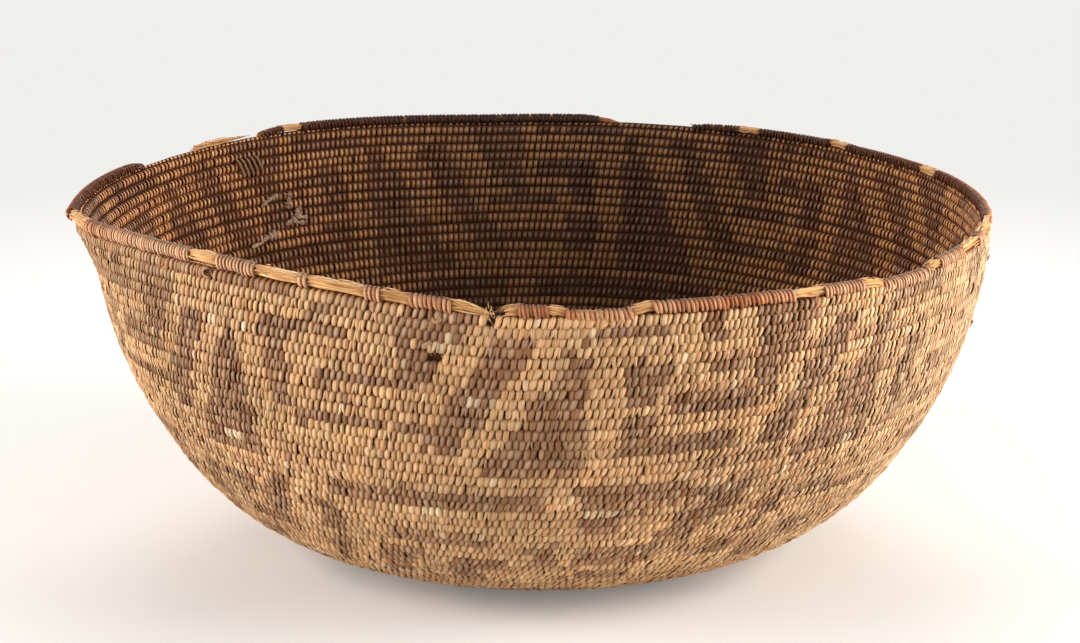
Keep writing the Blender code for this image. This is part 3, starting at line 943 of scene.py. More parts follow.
# The chart was read level by level, so where the wall is carried up, a stitch reads it higher up
chart_downs = downs - wall_lift(coil_along(TURNS), np.radians(azimuths)) / PITCH
count = len(TURNS)
runs = splint_runs(count, 4, 24)
run_tone = chance.normal(0, 0.26, count)[runs]
run_rosy = chance.normal(0.26, 0.30, count)[runs]
run_bleach = chance.random(count)[runs]
bleached = LITTLE_BLEACHED * ((run_bleach > 1 - BLEACHED_SPLINTS) & now_and_then(0.5))
bleached = np.maximum(bleached, MORE_BLEACHED * now_and_then(BLEACHED_STITCHES))
for box in BLEACHED_RUNS:
    here = within(box, front_azimuths, chart_downs) & now_and_then(0.8)
    bleached = np.where(here, chance.uniform(0.4, 0.8, count), bleached)
# The maker counted by eye, so a stroke's end wanders by a stitch, and outside the dark has faded
wander = in_runs(chance.normal(0, WANDER, count), 6, 14)
dark = is_dark(azimuths + wander, chart_downs) ^ now_and_then(MISCOUNTED)
kept_dark = in_runs(chance.uniform(0.84, 1.0, count), 5, 18) * from_table(KEPT_DARK_DOWN, downs)
kept_dark = kept_dark * from_table(KEPT_DARK_AROUND, front_azimuths)
bleached = np.maximum(bleached, from_table(SUNNED_AROUND, front_azimuths))
tone = np.clip(run_tone + chance.normal(0, 0.18, count), -1, 1)
stitch = {
    "dark": dark * kept_dark,
    "black": (downs > BLACK_START_DOWN).astype(float),
    "tone": np.where(bleached > 0.4, 0.25, tone),
    "rosy": np.clip(run_rosy + chance.normal(0, 0.15, count), 0, 1),
    "bleached": bleached,
    "splint_seed": chance.random(count),
}
weathering = in_runs(chance.uniform(0.35, 0.75, count), 3, 12)
for box in WEATHERED:
    here = within(box, front_azimuths, downs)
    stitch["dark"] = np.where(here, np.maximum(weathering, 0.8 * stitch["dark"]), stitch["dark"])
# The inside's painted shade by azimuth, with its darkening towards the bottom
inside_darkening_factor = inside_darkening(azimuths, downs)
# How bright a painted highlight each stitch's crown has
crown_highlight_strength = np.clip(chance.normal(0.24, 0.14, count), 0, 0.6)
print(f"{stitch['dark'].mean():.0%} of the stitches are dark, {(bleached > 0.3).mean():.0%} bleached")

# %% [markdown]
# All stitches are worked out together, as arrays. A split stitch is simply listed twice, once for
# each half, and the halves stand apart at the foot, in the shape of a V.

# %% Sewing the basket
# How many stitches have split, by azimuth: most on the worn sides
SPLIT_SHARE = ((-100, 0.3), (-60, 0.3), (-25, 0.14), (30, 0.14), (60, 0.26), (110, 0.12), (260, 0.12))
# How wide each half of a split stitch is, and the most stitches in one piece
HALF_OF_SPLIT = 0.54
MOST_IN_A_PIECE = 2330
# The solid model's lengths of coil: on the base, on the wall, and the turns in each
BASE_LENGTHS = 5
WALL_LENGTHS = 24
LENGTH_TURNS = 2.05
# The turn at which the first length begins, and how much of the coil's thin tip has no stitches
FIRST_LENGTH = math.ceil(START_TURN * 20) / 20
BARE_TIP = 0.15

present = np.flatnonzero(not_lost(azimuths, downs) & (TURNS > START_TURN + BARE_TIP))
from_left = (azimuths[present] + 100) % 360 - 100
is_split = chance.random(len(present)) < from_table(SPLIT_SHARE, from_left)
order = np.repeat(present, 1 + is_split)
half_side = np.zeros(len(order))
second = np.flatnonzero(np.diff(order, prepend=-1) == 0)
half_side[second] = 1.0
half_side[second - 1] = -1.0


def varied(spread, low, high):
    """A factor round 1 for every stitch, drawn from a bell curve and kept within limits."""
    return np.clip(chance.normal(1, spread, len(order)), low, high)


def stitch_bands():
    """Every stitch's band, from its place on the coil and its own measures.

    Outside, widths and lengths differ most, and the halves of a split stitch stand apart. Inside,
    where the coil pulled each stitch tight, they are more even.
    """
    turn, tip_turn, step = TURNS[order], TIPS[order], spacing[order][:, None]
    along, azimuth, size = coil_place(turn)
    thick = 0.35 + 0.65 * size
    long = varied(0.08, 0.84, 1.14)
    rise = np.where(STITCH_UP < 0, STITCH_UP * long[:, None], STITCH_UP)
    up = rise * PITCH * size[:, None]
    out = STITCH_OUT * (thick * varied(0.06, 0.86, 1.14))[:, None]
    lean = (turn - tip_turn) * round_length(turn) + chance.normal(0, 0.00036, len(order))
    drift = np.where(LEAN_SHARE < 0, LEAN_SHARE * lean[:, None], LEAN_SHARE * STITCH_LEAN)
    drift = drift + chance.normal(0, 0.00012, len(order))[:, None]
    split = half_side[:, None] * SPLIT_REACH
    drift = drift + split * step * np.where(LEAN_SHARE < -0.5, 0.34, 0.22)
    own_width = varied(0.13, 0.74, 1.2)[:, None] - 1
    width = 1 + own_width * np.where(STITCH_OUTSIDE == 1, 1.0, 0.45)
    width = width * (1 - (1 - HALF_OF_SPLIT) * np.abs(split))
    half = STITCH_HALF * step * width
    tilt = chance.normal(0, 0.00012, len(order))
    return rest_on_floor(band_points(wall_frame(along, azimuth), up, out, drift, half, tilt))


all_stitches = stitch_bands()
LENGTHS = BASE_LENGTHS + WALL_LENGTHS
length_of = np.clip(((TURNS[order] - FIRST_LENGTH) / LENGTH_TURNS).astype(int), 0, LENGTHS - 1)
node_names = [f"base_coil_{n + 1:02d}" for n in range(BASE_LENGTHS)]
node_names += [f"wall_coil_{n + 1:02d}" for n in range(WALL_LENGTHS)]


def stitch_groups():
    """The coil's lengths, gathered so that no piece has too many stitches, the base on its own."""
    counts = np.bincount(length_of, minlength=LENGTHS)
    groups = [list(range(BASE_LENGTHS))]
    for number in range(BASE_LENGTHS, LENGTHS):
        if groups[-1][0] == 0 or counts[groups[-1]].sum() + counts[number] > MOST_IN_A_PIECE:
            groups.append([])
        groups[-1].append(number)
    return groups


def band_depth(count, depths):
    """Dirt and painted shade for each point of a band: its ring's, more on the edges, and most underneath.
    """
    depth = np.broadcast_to(depths[None, :, None], (count, len(depths), 4)).copy()
    depth[:, :, (0, 2)] = np.maximum(depth[:, :, (0, 2)], EDGE_DEPTH)
    depth[:, :, 3] = 1.0
    return depth


for number, lengths in enumerate(stitch_groups()):
    chosen = np.isin(length_of, lengths)
    name = "base_sewing" if number == 0 else f"wall_sewing_{number:02d}"
    values = {key: value[order][chosen] for key, value in stitch.items()}
    values["outside"] = np.broadcast_to(STITCH_OUTSIDE, (chosen.sum(), len(STITCH_RINGS)))
    # Inside, each stitch takes the painted shade of its place
    values["rubbed"] = 1 - (1 - inside_darkening_factor[order][chosen][:, None]) * (1 - STITCH_OUTSIDE)
    values["bleached"] = values["bleached"][:, None] * (STITCH_OUTSIDE == 1)
    values["depth"] = band_depth(chosen.sum(), STITCH_DEPTH)
    values["crown"] = crown_highlight_strength[order][chosen][:, None, None] * STITCH_HIGHLIGHT[:, None] * RIDGE
    piece = add_strands(name, all_stitches[chosen], SEWN, values)
    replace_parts(piece, *[node_names[n] for n in lengths])

# %% [markdown]
# Between the stitches the bundle shows as dark slits, and its colour carries painted shade there:
# darker where it faces out, in the valleys inside and in the holes. It is one long strand, taller
# than it is deep, so that the rounds touch and no light comes through the wall.

# %% The bundle inside the coil
# Rings in a round and corners in a ring, and the bundle's half height and half depth
BUNDLE_STEPS = 48
BUNDLE_CORNERS = 8
BUNDLE_UP = 0.00335
BUNDLE_OUT = 0.00195
# Its painted shade outside, inside where the inside's painted shade is deepest and lightest, and in a hole
BUNDLE_OUTSIDE = -0.35
BUNDLE_INSIDE = ((0.36, -0.72), (1.3, -0.1))
BUNDLE_IN_HOLE = -1.0

ring_turns = np.linspace(START_TURN, END_TURN, int((END_TURN - START_TURN) * BUNDLE_STEPS))
ring_azimuths = np.degrees(math.tau * ring_turns + math.pi)
ring_downs = (ALONG[-1] - coil_along(ring_turns)) / PITCH


def coil_bundle():
    """Rings round the coil's middle, at every few degrees of its length."""
    along, azimuth, size = coil_place(ring_turns)
    middle, outward, upward, _ = wall_frame(along, azimuth)
    rings = tubes(middle, BUNDLE_OUT * size, outward, BUNDLE_UP * size, upward, BUNDLE_CORNERS)
    return rest_on_floor(rings)[None]


def bundle_painted_shade():
    """Dark where it faces out, for dirt and painted shade, darker inside in the valleys by painted shade,
    and black, a painted shadow, where stitches are gone.
    """
    faces_out = np.interp(np.cos(corner_angles(BUNDLE_CORNERS)), (-0.3, 0.3), (0, 1))
    inside = from_table(BUNDLE_INSIDE, inside_darkening(ring_azimuths, ring_downs))[:, None]
    tone = inside + (BUNDLE_OUTSIDE - inside) * faces_out
    return np.where(not_lost(ring_azimuths, ring_downs)[:, None], tone, BUNDLE_IN_HOLE)[None]


foundation = add_strands("foundation_bundle", coil_bundle(), FOUNDATION, {
    "tone": bundle_painted_shade(), "depth": 0.0, "splint_seed": 0.3,
})
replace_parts(foundation, *node_names)

# %% [markdown]
# The start of the coil is a small hard knot of splint, sewn over in black. It is made as a low
# boss: folds that run out from its middle like the stitches round it, flat underneath, and closed
# by one point above and one below.

# %% The start knot
KNOT_FOLDS = 22
KNOT_ROWS = 15


def start_knot():
    """A surface of turning: radius and height from a half ellipse, with folds round the edge.

    The fold is a sine of the angle, deepest at the edge, and it swirls a little on the way out.
    """
    sweep = np.linspace(0.0, math.pi, KNOT_ROWS)[:, None]
    turned = corner_angles(KNOT_FOLDS * 6)
    angle = turned + 0.5 * np.sin(sweep)
    fold = 1 + 0.05 * np.sin(sweep) * np.sin(KNOT_FOLDS * turned)
    radius = (KNOT_RADIUS - GAP) * np.sin(sweep) ** 0.6 * fold
    height = KNOT_HEIGHT / 2 * (1 + np.cos(sweep)) * (0.93 + 0.07 * fold)
    return np.stack([radius * np.sin(angle), radius * np.cos(angle), height], axis=-1)[None]


knot = add_strands("start_knot_sewing", start_knot(), SEWN, {
    "dark": 1.0, "black": 1.0, "tone": -0.2, "rosy": 0.0, "bleached": 0.0, "rubbed": 1.0, "crown": 0.0,
    "splint_seed": 0.5, "outside": 0.3, "depth": 0.1,
})
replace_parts(knot, "start_knot")

# %% [markdown]
# The rim is the last round, thinner than the others. Where its binding has worn through, the
# bundle's split stems show, golden where the skin of dirt is gone, and their broken ends stand
# out. So it is built stem by stem: each stem follows the rim at its own place in the bundle,
# wanders a little, and ends where it broke.

# %% The rim's stems
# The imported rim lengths, from and to in degrees
RIM_LENGTHS = {
    "rim_bundle_front_left": (-84.6, -5.6),
    "rim_bundle_right": (-4.6, 157.9),
    "rim_bundle_back": (168.4, 224.7),
    "rim_bundle_flake": (227.5, 237.7),
    "rim_bundle_back_left": (247.5, 273.6),
}
# How far wear has let the rim sink or rise: azimuth in degrees, and millimetres
RIM_LEVEL = (
    (-86, -1.0), (-83, -0.4), (-48, -0.2), (-44, 0.2), (-40, -0.1), (-12, -0.6), (-9, -1.0),
    (-7, -2.2), (-5.4, -4.0), (-4.8, -2.8), (-3.8, -1.1), (-2.4, -0.3), (0.8, -0.3), (2.4, -1.2),
    (3.4, -2.6), (9.4, -2.6), (10.6, -1.3), (12.2, 0.3), (14, 0.3), (28, 0.3), (32, -0.3), (36, -0.4),
    (41, -1.0), (43.2, -1.8), (44.6, -3.6), (53, -3.6), (54.6, -2.0), (56.4, -0.7), (63, -0.4),
    (108, -1.0), (118, -1.8), (129, -2.0), (133, -1.0), (150, -1.1), (155, -1.6), (158, -2.8),
    (168, -3.2), (170, -1.4), (173, -0.7), (190, -0.7), (221, -0.7), (223, -1.2), (225, -2.4),
    (227.5, -1.8), (231, -1.2), (235, -1.2), (237.5, -2.0), (247.5, -2.6), (250, -1.2), (255, -0.8),
    (270, -0.6), (274, -0.4),
)
# How dirty the bare stems are, by azimuth: golden in front, and brown at the lip and the back
STEM_DIRT = (
    (-85, 0.35), (-82, 0.1), (-76, 0.25), (-70, 0.15), (-50, 0.05), (-22, 0.05), (-18, 0.4), (-13, 0.3),
    (-9, 0.05), (60, 0.05), (100, 0.2), (125, 0.3), (160, 0.45), (168, 0.4), (171, 0.15), (200, 0.5),
    (219, 0.45), (226, 0.6), (230, 0.62), (234, 0.35), (240, 0.3), (264, 0.8), (275, 0.6),
)
# How thick the bundle still is, by azimuth, as a share of the whole one
STILL_THICK = (
    (-86, 0.8), (-83, 1.0), (-9, 1.0), (-6, 0.8), (-4, 0.95), (2, 0.85), (130, 0.85), (136, 0.7),
    (150, 0.7), (158, 0.6), (168, 0.4), (171, 0.6), (174, 0.8), (215, 0.8), (220, 0.7), (225, 0.5),
    (227.5, 0.4), (232, 0.6), (238, 0.4), (247, 0.5), (251, 0.85), (274, 0.85),
)
# At the lip one broken end has sprung out of line: azimuth, and millimetres outwards
RIM_SPRUNG = ((-86, 0.0), (265, 0.0), (270, 0.8), (274, 2.4))
# The rim's azimuths begin and end at the break in the left lip
RIM_BREAK = -85.5
# Stems in the bundle, their radius and corners
STEMS = 14
STEM_RADIUS = 0.00070
STEM_CORNERS = 6
# How much shorter the upper stems have broken off, in degrees, and how far bare ones swell
FRAYED = 1.3
BARE_SWELLING = 1.04
# Splinters on each bare stretch
SPLINTERS = 9
# The runs of binding that are left, from and to in degrees
BINDING_RUNS = (
    (-73.5, -45.6), (-40.9, -34.9), (-28.8, -27.6), (-20.4, -18.4), (-15.0, -10.1), (-2.6, 0.8),
    (2.7, 10.4), (12.7, 30.4), (34.6, 40.9), (44.5, 53.8), (56.3, 63.2), (69.7, 72.7), (82.6, 110.5),
    (114.9, 131.2), (134.2, 146.9), (150.1, 157.4), (168.9, 217.1), (220.2, 224.2), (248.0, 273.2),
)


def bareness(degrees):
    """1 where no binding holds the bundle and 0 where it does, with a soft edge of a degree."""
    starts, ends = np.array(BINDING_RUNS).T
    inside = np.minimum(degrees[..., None] - starts, ends - degrees[..., None]).max(axis=-1)
    return np.clip(0.3 - inside, 0, 1)


def rim_frame(azimuth):
    """The place of the rim bundle's middle at each azimuth in radians, with its wear."""
    degrees = np.degrees(azimuth)
    level = from_table(RIM_LEVEL, degrees) / 1000
    sprung = from_table(RIM_SPRUNG, degrees) / 1000
    middle, outward, upward, around = wall_frame(RIM_ALONG + level, azimuth)
    return middle + sprung[..., None] * outward, outward, upward, around


def sunflower(count, reach):
    """Even places in a disc: the angle grows by the golden angle, the radius by the root."""
    number = np.arange(count) + 0.5
    angle = number * math.radians(137.5)
    radius = reach * np.sqrt(number / count)
    return radius * np.cos(angle), radius * np.sin(angle)


def stem_tubes(azimuth, out, up, radius, flat):
    """Tubes along rows of places on the rim, each a little flattened."""
    middle, outward, upward, _ = rim_frame(azimuth)
    middle = middle + out[..., None] * outward + up[..., None] * upward
    return tubes(middle, radius, outward, radius * flat, upward, STEM_CORNERS)


def rim_stems(first, last):
    """Stems of one rim length: they wave a little and swell where nothing binds them.

    The upper stems have broken off shorter than the lower ones, so each end slopes down. The
    waves are two sines of the azimuth, under a fifth of a millimetre each, and the last few rings
    of a stem thin out and stand apart.
    """
    rings = max(12, int((last - first) / 0.6))
    out, up = (place[:, None] for place in sunflower(STEMS, RIM_BUNDLE_RADIUS - STEM_RADIUS))
    broken = FRAYED * (0.5 + 0.5 * up / RIM_BUNDLE_RADIUS)
    start = first + broken * chance.uniform(0, 1.5, (STEMS, 1))
    stop = last - broken * chance.uniform(0, 1.5, (STEMS, 1))
    share = np.linspace(0, 1, rings)
    degrees = start + (stop - start) * share
    azimuth = np.radians(degrees)
    swelling = 1 + (BARE_SWELLING - 1) * bareness(degrees)
    swelling = swelling * from_table(STILL_THICK, degrees)
    phase = chance.uniform(0, math.tau, (2, STEMS, 1))
    wave = 0.00018 * np.sin(azimuth * 23 + phase[0]) + 0.00014 * np.sin(azimuth * 61 + phase[1])
    wave = wave * (0.4 + 1.2 * bareness(degrees))
    end = np.minimum(share, 1 - share) * rings
    fray = 0.0010 * np.clip(1 - end / 4, 0, 1) ** 2 * chance.uniform(-0.8, 1.0, (STEMS, 1))
    out = out * swelling + wave + 0.5 * fray
    up = up * swelling + wave[:, ::-1] + fray + 0.0002 * bareness(degrees)
    radius = STEM_RADIUS * np.clip(0.35 + 0.35 * end, 0, 1) * chance.uniform(0.8, 1.15, (STEMS, 1))
    return stem_tubes(azimuth, out, up, radius * swelling, 1 - 0.25 * chance.random((STEMS, 1)))


def splinters(first, last):
    """Short broken stems on the bare stretches of a rim length, slanting over the bundle.

    Each lies on the bundle at its own seat, an angle round it, and lifts towards both its ends.
    """
    edges = np.array(BINDING_RUNS)
    edges = edges[(edges[:, 0] < last) & (edges[:, 1] > first)]
    bare_from = np.append(first, edges[:, 1])
    bare_to = np.append(edges[:, 0], last)
    long_enough = bare_to - bare_from > 0.8
    bare_from, bare_to = (np.repeat(edge[long_enough], SPLINTERS) for edge in (bare_from, bare_to))
    count = len(bare_from)
    middle = chance.uniform(bare_from, bare_to)
    half = np.minimum(chance.uniform(0.35, 1.6, count), (bare_to - bare_from) * 0.55)
    share = np.linspace(-1, 1, 7)
    degrees = middle[:, None] + half[:, None] * share
    seat = np.radians(chance.uniform(-20, 200, (count, 1)))
    seat = seat + 0.35 * share * chance.normal(0, 1, (count, 1))
    thick = RIM_BUNDLE_RADIUS * BARE_SWELLING * from_table(STILL_THICK, degrees)
    reach = thick + 0.0002 + 0.0007 * np.abs(share) ** 3 * chance.random((count, 1))
    radius = 0.00030 * (1.15 - np.abs(share) ** 2) * chance.uniform(0.6, 1.3, (count, 1))
    return stem_tubes(np.radians(degrees), reach * np.cos(seat), reach * np.sin(seat), radius, 0.8)


def add_stems(name, shape):
    """Bare stems or splinters, each with a shade of its own, dirt by azimuth, and painted shade where the
    binding covers them.
    """
    count = len(shape)
    degrees = np.degrees(np.arctan2(shape[..., 0], -shape[..., 1]))
    degrees = np.where(degrees < RIM_BREAK, degrees + 360, degrees)
    # Under the binding the stems get painted shade; where bare, their dirt by azimuth
    dirt_and_shade = np.maximum(from_table(STEM_DIRT, degrees), 1 - bareness(degrees))
    return add_strands(name, shape, GOLDEN, {
        "tone": chance.normal(0.1, 0.4, count).clip(-1, 1),
        "depth": (dirt_and_shade + chance.uniform(-0.05, 0.15, (count, 1, 1))).clip(0, 0.95),
        "splint_seed": chance.random(count),
    })


for name, (first, last) in RIM_LENGTHS.items():
    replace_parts(add_stems(f"{name}_stems", rim_stems(first, last)), name)
    broken = splinters(first, last)
    if len(broken):
        add_stems(f"{name}_splinters", broken)

# %% [markdown]
# The rim's binding is overcast: one splint goes over and over the rim, through the round below.
# Its turns lie close together like ribs, lean the other way than the stitches of the wall, and
# are redder in places, with worn skin and a painted sheen where hands rubbed them. It is left in
# runs, between the bare places.

# %% The rim's binding
# How far a rib's two ends lie apart along the rim
RIB_LEAN = -0.0008
# How far apart the ribs are in millimetres, by azimuth
RIB_STEPS = ((-8, 2.1), (-1, 1.6), (5, 2.1), (60, 2.0), (275, 2.1))
# For each ring: up the wall and out of it in metres, half width in steps, share of the lean,
# dirt and painted shade, 1 outside and 0 inside, and how much painted sheen its inner face has
RIB_RINGS = np.array([
    (-0.0033, 0.00215, 0.26, -1.0, 0.8, 1.0, 0.0),
    (-0.0023, 0.00305, 0.46, -0.7, 0.2, 1.0, 0.0),
    (-0.0007, 0.00335, 0.51, -0.25, 0.0, 1.0, 0.0),
    (0.0012, 0.00300, 0.52, 0.1, 0.0, 1.0, 0.0),
    (0.0026, 0.00185, 0.52, 0.4, 0.0, 0.9, 0.0),
    (0.0032, 0.00010, 0.52, 0.6, 0.0, 0.5, 0.0),
    (0.0025, -0.00175, 0.51, 0.75, 0.0, 0.1, 0.1),
    (0.0007, -0.00300, 0.50, 0.9, 0.0, 0.0, 1.0),
    (-0.0014, -0.00310, 0.46, 1.0, 0.1, 0.0, 0.2),
    (-0.0030, -0.00190, 0.28, 1.1, 0.8, 0.0, 0.0),
])
RIB_UP, RIB_OUT, RIB_HALF, RIB_DRIFT, RIB_DEPTH, RIB_OUTSIDE, RIB_PAINTED_SHEEN = RIB_RINGS.T
# A rib's width, as a share of its step, and the dirt and painted shade on its edges
RIB_WIDTH = 0.88
RIB_EDGE_DEPTH = 0.6
# Where ribs have come off since: from and to in degrees
RIBS_GONE = (168.4, 171.4)
# How red the binding is, and how much worn skin and painted sheen it has, by azimuth
REDDISH = (
    (-78, 0.6), (-69, 0.5), (-60, 0.1), (-34, 0.15), (-14, 0.3), (-1, 1.0), (3, 0.7), (8, 0.3), (12, 0.5),
    (18, 0.7), (24, 0.8), (29, 0.5), (40, 0.2), (62, 0.2), (90, 0.5), (120, 0.9), (275, 0.7),
)
SKIN_WORN_AND_SHEEN = (
    (-78, 0.2), (-69, 0.2), (-58, 0.8), (-36, 0.8), (-14, 0.3), (0, 0.1), (12, 0.2), (28, 0.1), (36, 0.6),
    (50, 0.9), (63, 0.9), (75, 0.5), (90, 0.1), (275, 0.2),
)


def binding_ribs(first, last):
    """Ribs side by side from the first to the last azimuth, and the azimuth of each in degrees.

    Each is a band over the rim. Where the bundle has grown thin, its rib lies lower and closer.
    """
    rib_step = from_table(RIB_STEPS, (first + last) / 2) / 1000
    first, last = math.radians(first), math.radians(last)
    count = max(2, round((last - first) * RIM_RADIUS / rib_step))
    step = (last - first) / count
    azimuth = first + step * (np.arange(count) + 0.5 + chance.normal(0, 0.07, count))
    width = step * RIM_RADIUS * np.clip(chance.normal(1.0, 0.10, count), 0.8, 1.2)
    reach = np.clip(chance.normal(1.0, 0.05, count), 0.88, 1.12)[:, None]
    lean = (RIB_LEAN + chance.normal(0, 0.0003, count))[:, None]
    up = np.where(RIB_UP < 0, RIB_UP * (2 * reach - 1), RIB_UP + 0.0006 * (reach - 1))
    out = RIB_OUT * (1 + 0.6 * (reach - 1))
    degrees = np.degrees(azimuth)
    thick = from_table(STILL_THICK, degrees)[:, None]
    up = np.where(up > 0, up * thick, up)
    out = out * (0.4 + 0.6 * thick)
    half = RIB_HALF * RIB_WIDTH * width[:, None]
    tilt = chance.normal(0, 0.00008, count)
    ribs = band_points(rim_frame(azimuth), up, out, RIB_DRIFT * lean, half, tilt)
    kept = (degrees < RIBS_GONE[0]) | (degrees > RIBS_GONE[1])
    return ribs[kept], degrees[kept]


for number, (first, last) in enumerate(BINDING_RUNS, start=1):
    ribs, degrees = binding_ribs(first, last)
    count = len(ribs)
    reddish = from_table(REDDISH, degrees) + chance.normal(0, 0.2, count)
    # Worn skin and painted sheen outside, and a painted sheen on each rib's inner face
    worn_and_sheen = from_table(SKIN_WORN_AND_SHEEN, degrees) * chance.uniform(0.4, 1.0, count)
    skin_and_sheen = worn_and_sheen[:, None] * RIB_OUTSIDE + chance.uniform(0.0, 0.34, count)[:, None] * RIB_PAINTED_SHEEN
    # The ribs' inner faces are darker, and take the inside's painted shade, deepest at the back
    inside_share = (0.55 * inside_darkening(degrees, 0.0)[:, None] ** 1.3).clip(0, 1)
    piece = add_strands(f"rim_binding_{number:02d}_ribs", ribs, BINDING, {
        "tone": chance.normal(0, 0.42, count).clip(-1, 1),
        "reddish": reddish.clip(0, 1),
        "worn_and_sheen": skin_and_sheen[..., None] * (0.4 + 0.6 * RIDGE),
        "outside": np.broadcast_to(RIB_OUTSIDE, (count, len(RIB_RINGS))),
        "rubbed": 1 - (1 - inside_share) * (1 - RIB_OUTSIDE) ** 0.5,
        # Dirt and painted shade lie thick on a rib's edges, where it meets the next one
        "depth": np.maximum(band_depth(count, RIB_DEPTH), RIB_EDGE_DEPTH * (1 - RIDGE)),
        "splint_seed": chance.random(count),
    })
    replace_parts(piece, f"rim_binding_{number:02d}")

# %% [markdown]
# Inside, below the broken back left of the rim, an old mend holds two rounds together: five
# strands side by side, slanting over the sewing. Each is a thin tube from the place where it
# comes out of the wall to the place where it goes in again, pressed to the wall at both ends.

# %% The mend
# The first strand's upper and lower end, in degrees and rounds down, and the step to the next one
MEND_TOP = (229.6, 2.65)
MEND_FOOT = (228.5, 4.4)
MEND_STEP = 0.92
MENDS = 5
MEND_RADIUS = 0.0008
# How far a strand stands off the wall in its middle, and goes into it at its ends
MEND_ARCH = 0.0004
MEND_DIP = 0.0016


def mend_strand(number):
    """A tube along a straight line on the inner wall, lifted like a low arch from end to end."""
    share = np.linspace(0, 1, 14)
    degrees = MEND_TOP[0] + (MEND_FOOT[0] - MEND_TOP[0]) * share - MEND_STEP * number
    down = MEND_TOP[1] + (MEND_FOOT[1] - MEND_TOP[1]) * share
    middle, outward, _, around = on_wall(down, degrees)
    arch = MEND_ARCH * np.sin(math.pi * share) - MEND_DIP * np.abs(2 * share - 1) ** 8
    middle = middle - (COIL_RADIUS + MEND_RADIUS + arch)[:, None] * outward
    return tubes(middle, MEND_RADIUS, around, MEND_RADIUS, outward, 8)[None]


for number in range(MENDS):
    piece = add_strands(
        f"mend_strand_{number + 1:02d}_twist", mend_strand(number), MENDING,
        {"tone": 0.3 * math.sin(2.0 * number), "depth": 0.0, "splint_seed": 0.17 * number},
    )
    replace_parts(piece, f"mend_strand_{number + 1:02d}")

# %% [markdown]
# Something has dried on the inside, below the mend: five lumpy smears, one with a bulb at its end.
# They are flattened tubes pressed on the sewing, and no part of the basket, so they replace nothing.

# %% The smears
# Each smear's line on the inner wall, as azimuth, rounds down, and half width in millimetres
SMEARS = (
    ((222.5, 6.9, 0.8), (223.4, 7.1, 1.4), (224.4, 7.3, 0.9), (225.4, 7.6, 1.2), (226.0, 7.8, 0.4)),
    ((220.3, 6.8, 0.8), (220.5, 7.2, 1.7), (220.7, 7.6, 1.4), (220.9, 8.1, 1.6), (221.1, 8.5, 0.6)),
    ((218.6, 8.6, 0.6), (219.4, 8.7, 1.3), (219.7, 9.2, 1.7), (218.9, 9.5, 1.3), (217.8, 9.6, 0.9)),
    ((222.0, 10.0, 0.7), (221.2, 9.8, 1.1), (220.5, 9.6, 1.4), (219.5, 10.0, 0.9), (218.5, 10.1, 1.1)),
    ((223.7, 10.8, 1.6), (224.6, 10.8, 2.7), (226.0, 10.9, 1.1), (227.2, 11.3, 0.7), (229.4, 11.5, 1.2)),
)
SMEAR_RINGS = 40
# Thickness as a share of the width
SMEAR_THICKNESS = 0.5
# How far from the wall's middle a smear or a loose splint lies, just on the stitches
ON_STITCHES = 0.0029


def smears():
    """Flattened tubes along the smears' lines: the width is lumpy, and both ends run out."""
    share = np.linspace(0, 4, SMEAR_RINGS)
    lines = np.array([[np.interp(share, range(5), column) for column in zip(*smear)] for smear in SMEARS])
    azimuth, down, half = lines.transpose(1, 0, 2)
    lumps = 1 + 0.34 * np.sin(6.3 * share + 2 * azimuth) + 0.24 * np.sin(13.7 * share)
    half = half / 1000 * lumps * np.clip(8 * np.minimum(share, 4 - share), 0, 1) ** 0.5 + 0.0001
    middle, outward, _, _ = on_wall(down, azimuth)
    middle = middle - ON_STITCHES * outward
    forward = np.gradient(middle, axis=1)
    forward /= np.linalg.norm(forward, axis=-1)[..., None]
    return tubes(middle, half, np.cross(forward, outward), SMEAR_THICKNESS * half, outward, 10)


add_strands("dried_smears", smears(), SMEARED, {
    "tone": np.array([-0.1, -0.6, 0.3, 0.0, 0.4]), "depth": 0.0, "splint_seed": np.linspace(0.1, 0.9, 5),
})

# %% [markdown]
# Broken splints leave fibres that stand out of the wall: short ones all over the outside, and
# tufts of longer ones where stitches are gone. Each is a very thin tube that starts in the sewing
# and bends away, so from afar they only roughen the outline, as on the real one.

# %% Loose fibres
# Scattered fibres, and those in each tuft
FIBRES = 420
TUFT = 16
FIBRE_RADIUS = 0.00013
FIBRE_SHORTEST = 0.002
# How far from the wall's middle a fibre starts, inside the stitches
FIBRE_SEAT = 0.0027


def fibres(count, box, longest, most_side, most_lift):
    """Thin tubes that bend out of the wall, at random places in a box on it.

    How far a fibre runs round the bowl, and how far it stands out at its end, are shares of its
    length. The rest of its length goes up or down the wall.
    """
    first, last, top, bottom = box
    azimuth = chance.uniform(first, last, (count, 1))
    down = chance.uniform(top, bottom, (count, 1))
    length = chance.uniform(FIBRE_SHORTEST, longest, (count, 1))
    side = chance.uniform(-most_side, most_side, (count, 1))
    lift = chance.uniform(0.05, most_lift, (count, 1))
    curl = chance.uniform(-0.5, 0.5, (count, 1))
    up_or_down = chance.choice([-1, 1], (count, 1))
    share = np.linspace(0, 1, 6)
    run = length * (side * share + 0.2 * curl * np.sin(math.pi * share))
    rise = -up_or_down * length * np.sqrt(1 - side**2) * share
    out = FIBRE_SEAT + length * lift * share**1.6
    middle, outward, upward, around = on_wall(down, azimuth)
    middle = middle + run[..., None] * around + rise[..., None] * upward + out[..., None] * outward
    radius = FIBRE_RADIUS * (1.25 - share) * chance.uniform(0.6, 1.4, (count, 1))
    return tubes(middle, radius, around, radius, outward, 4)


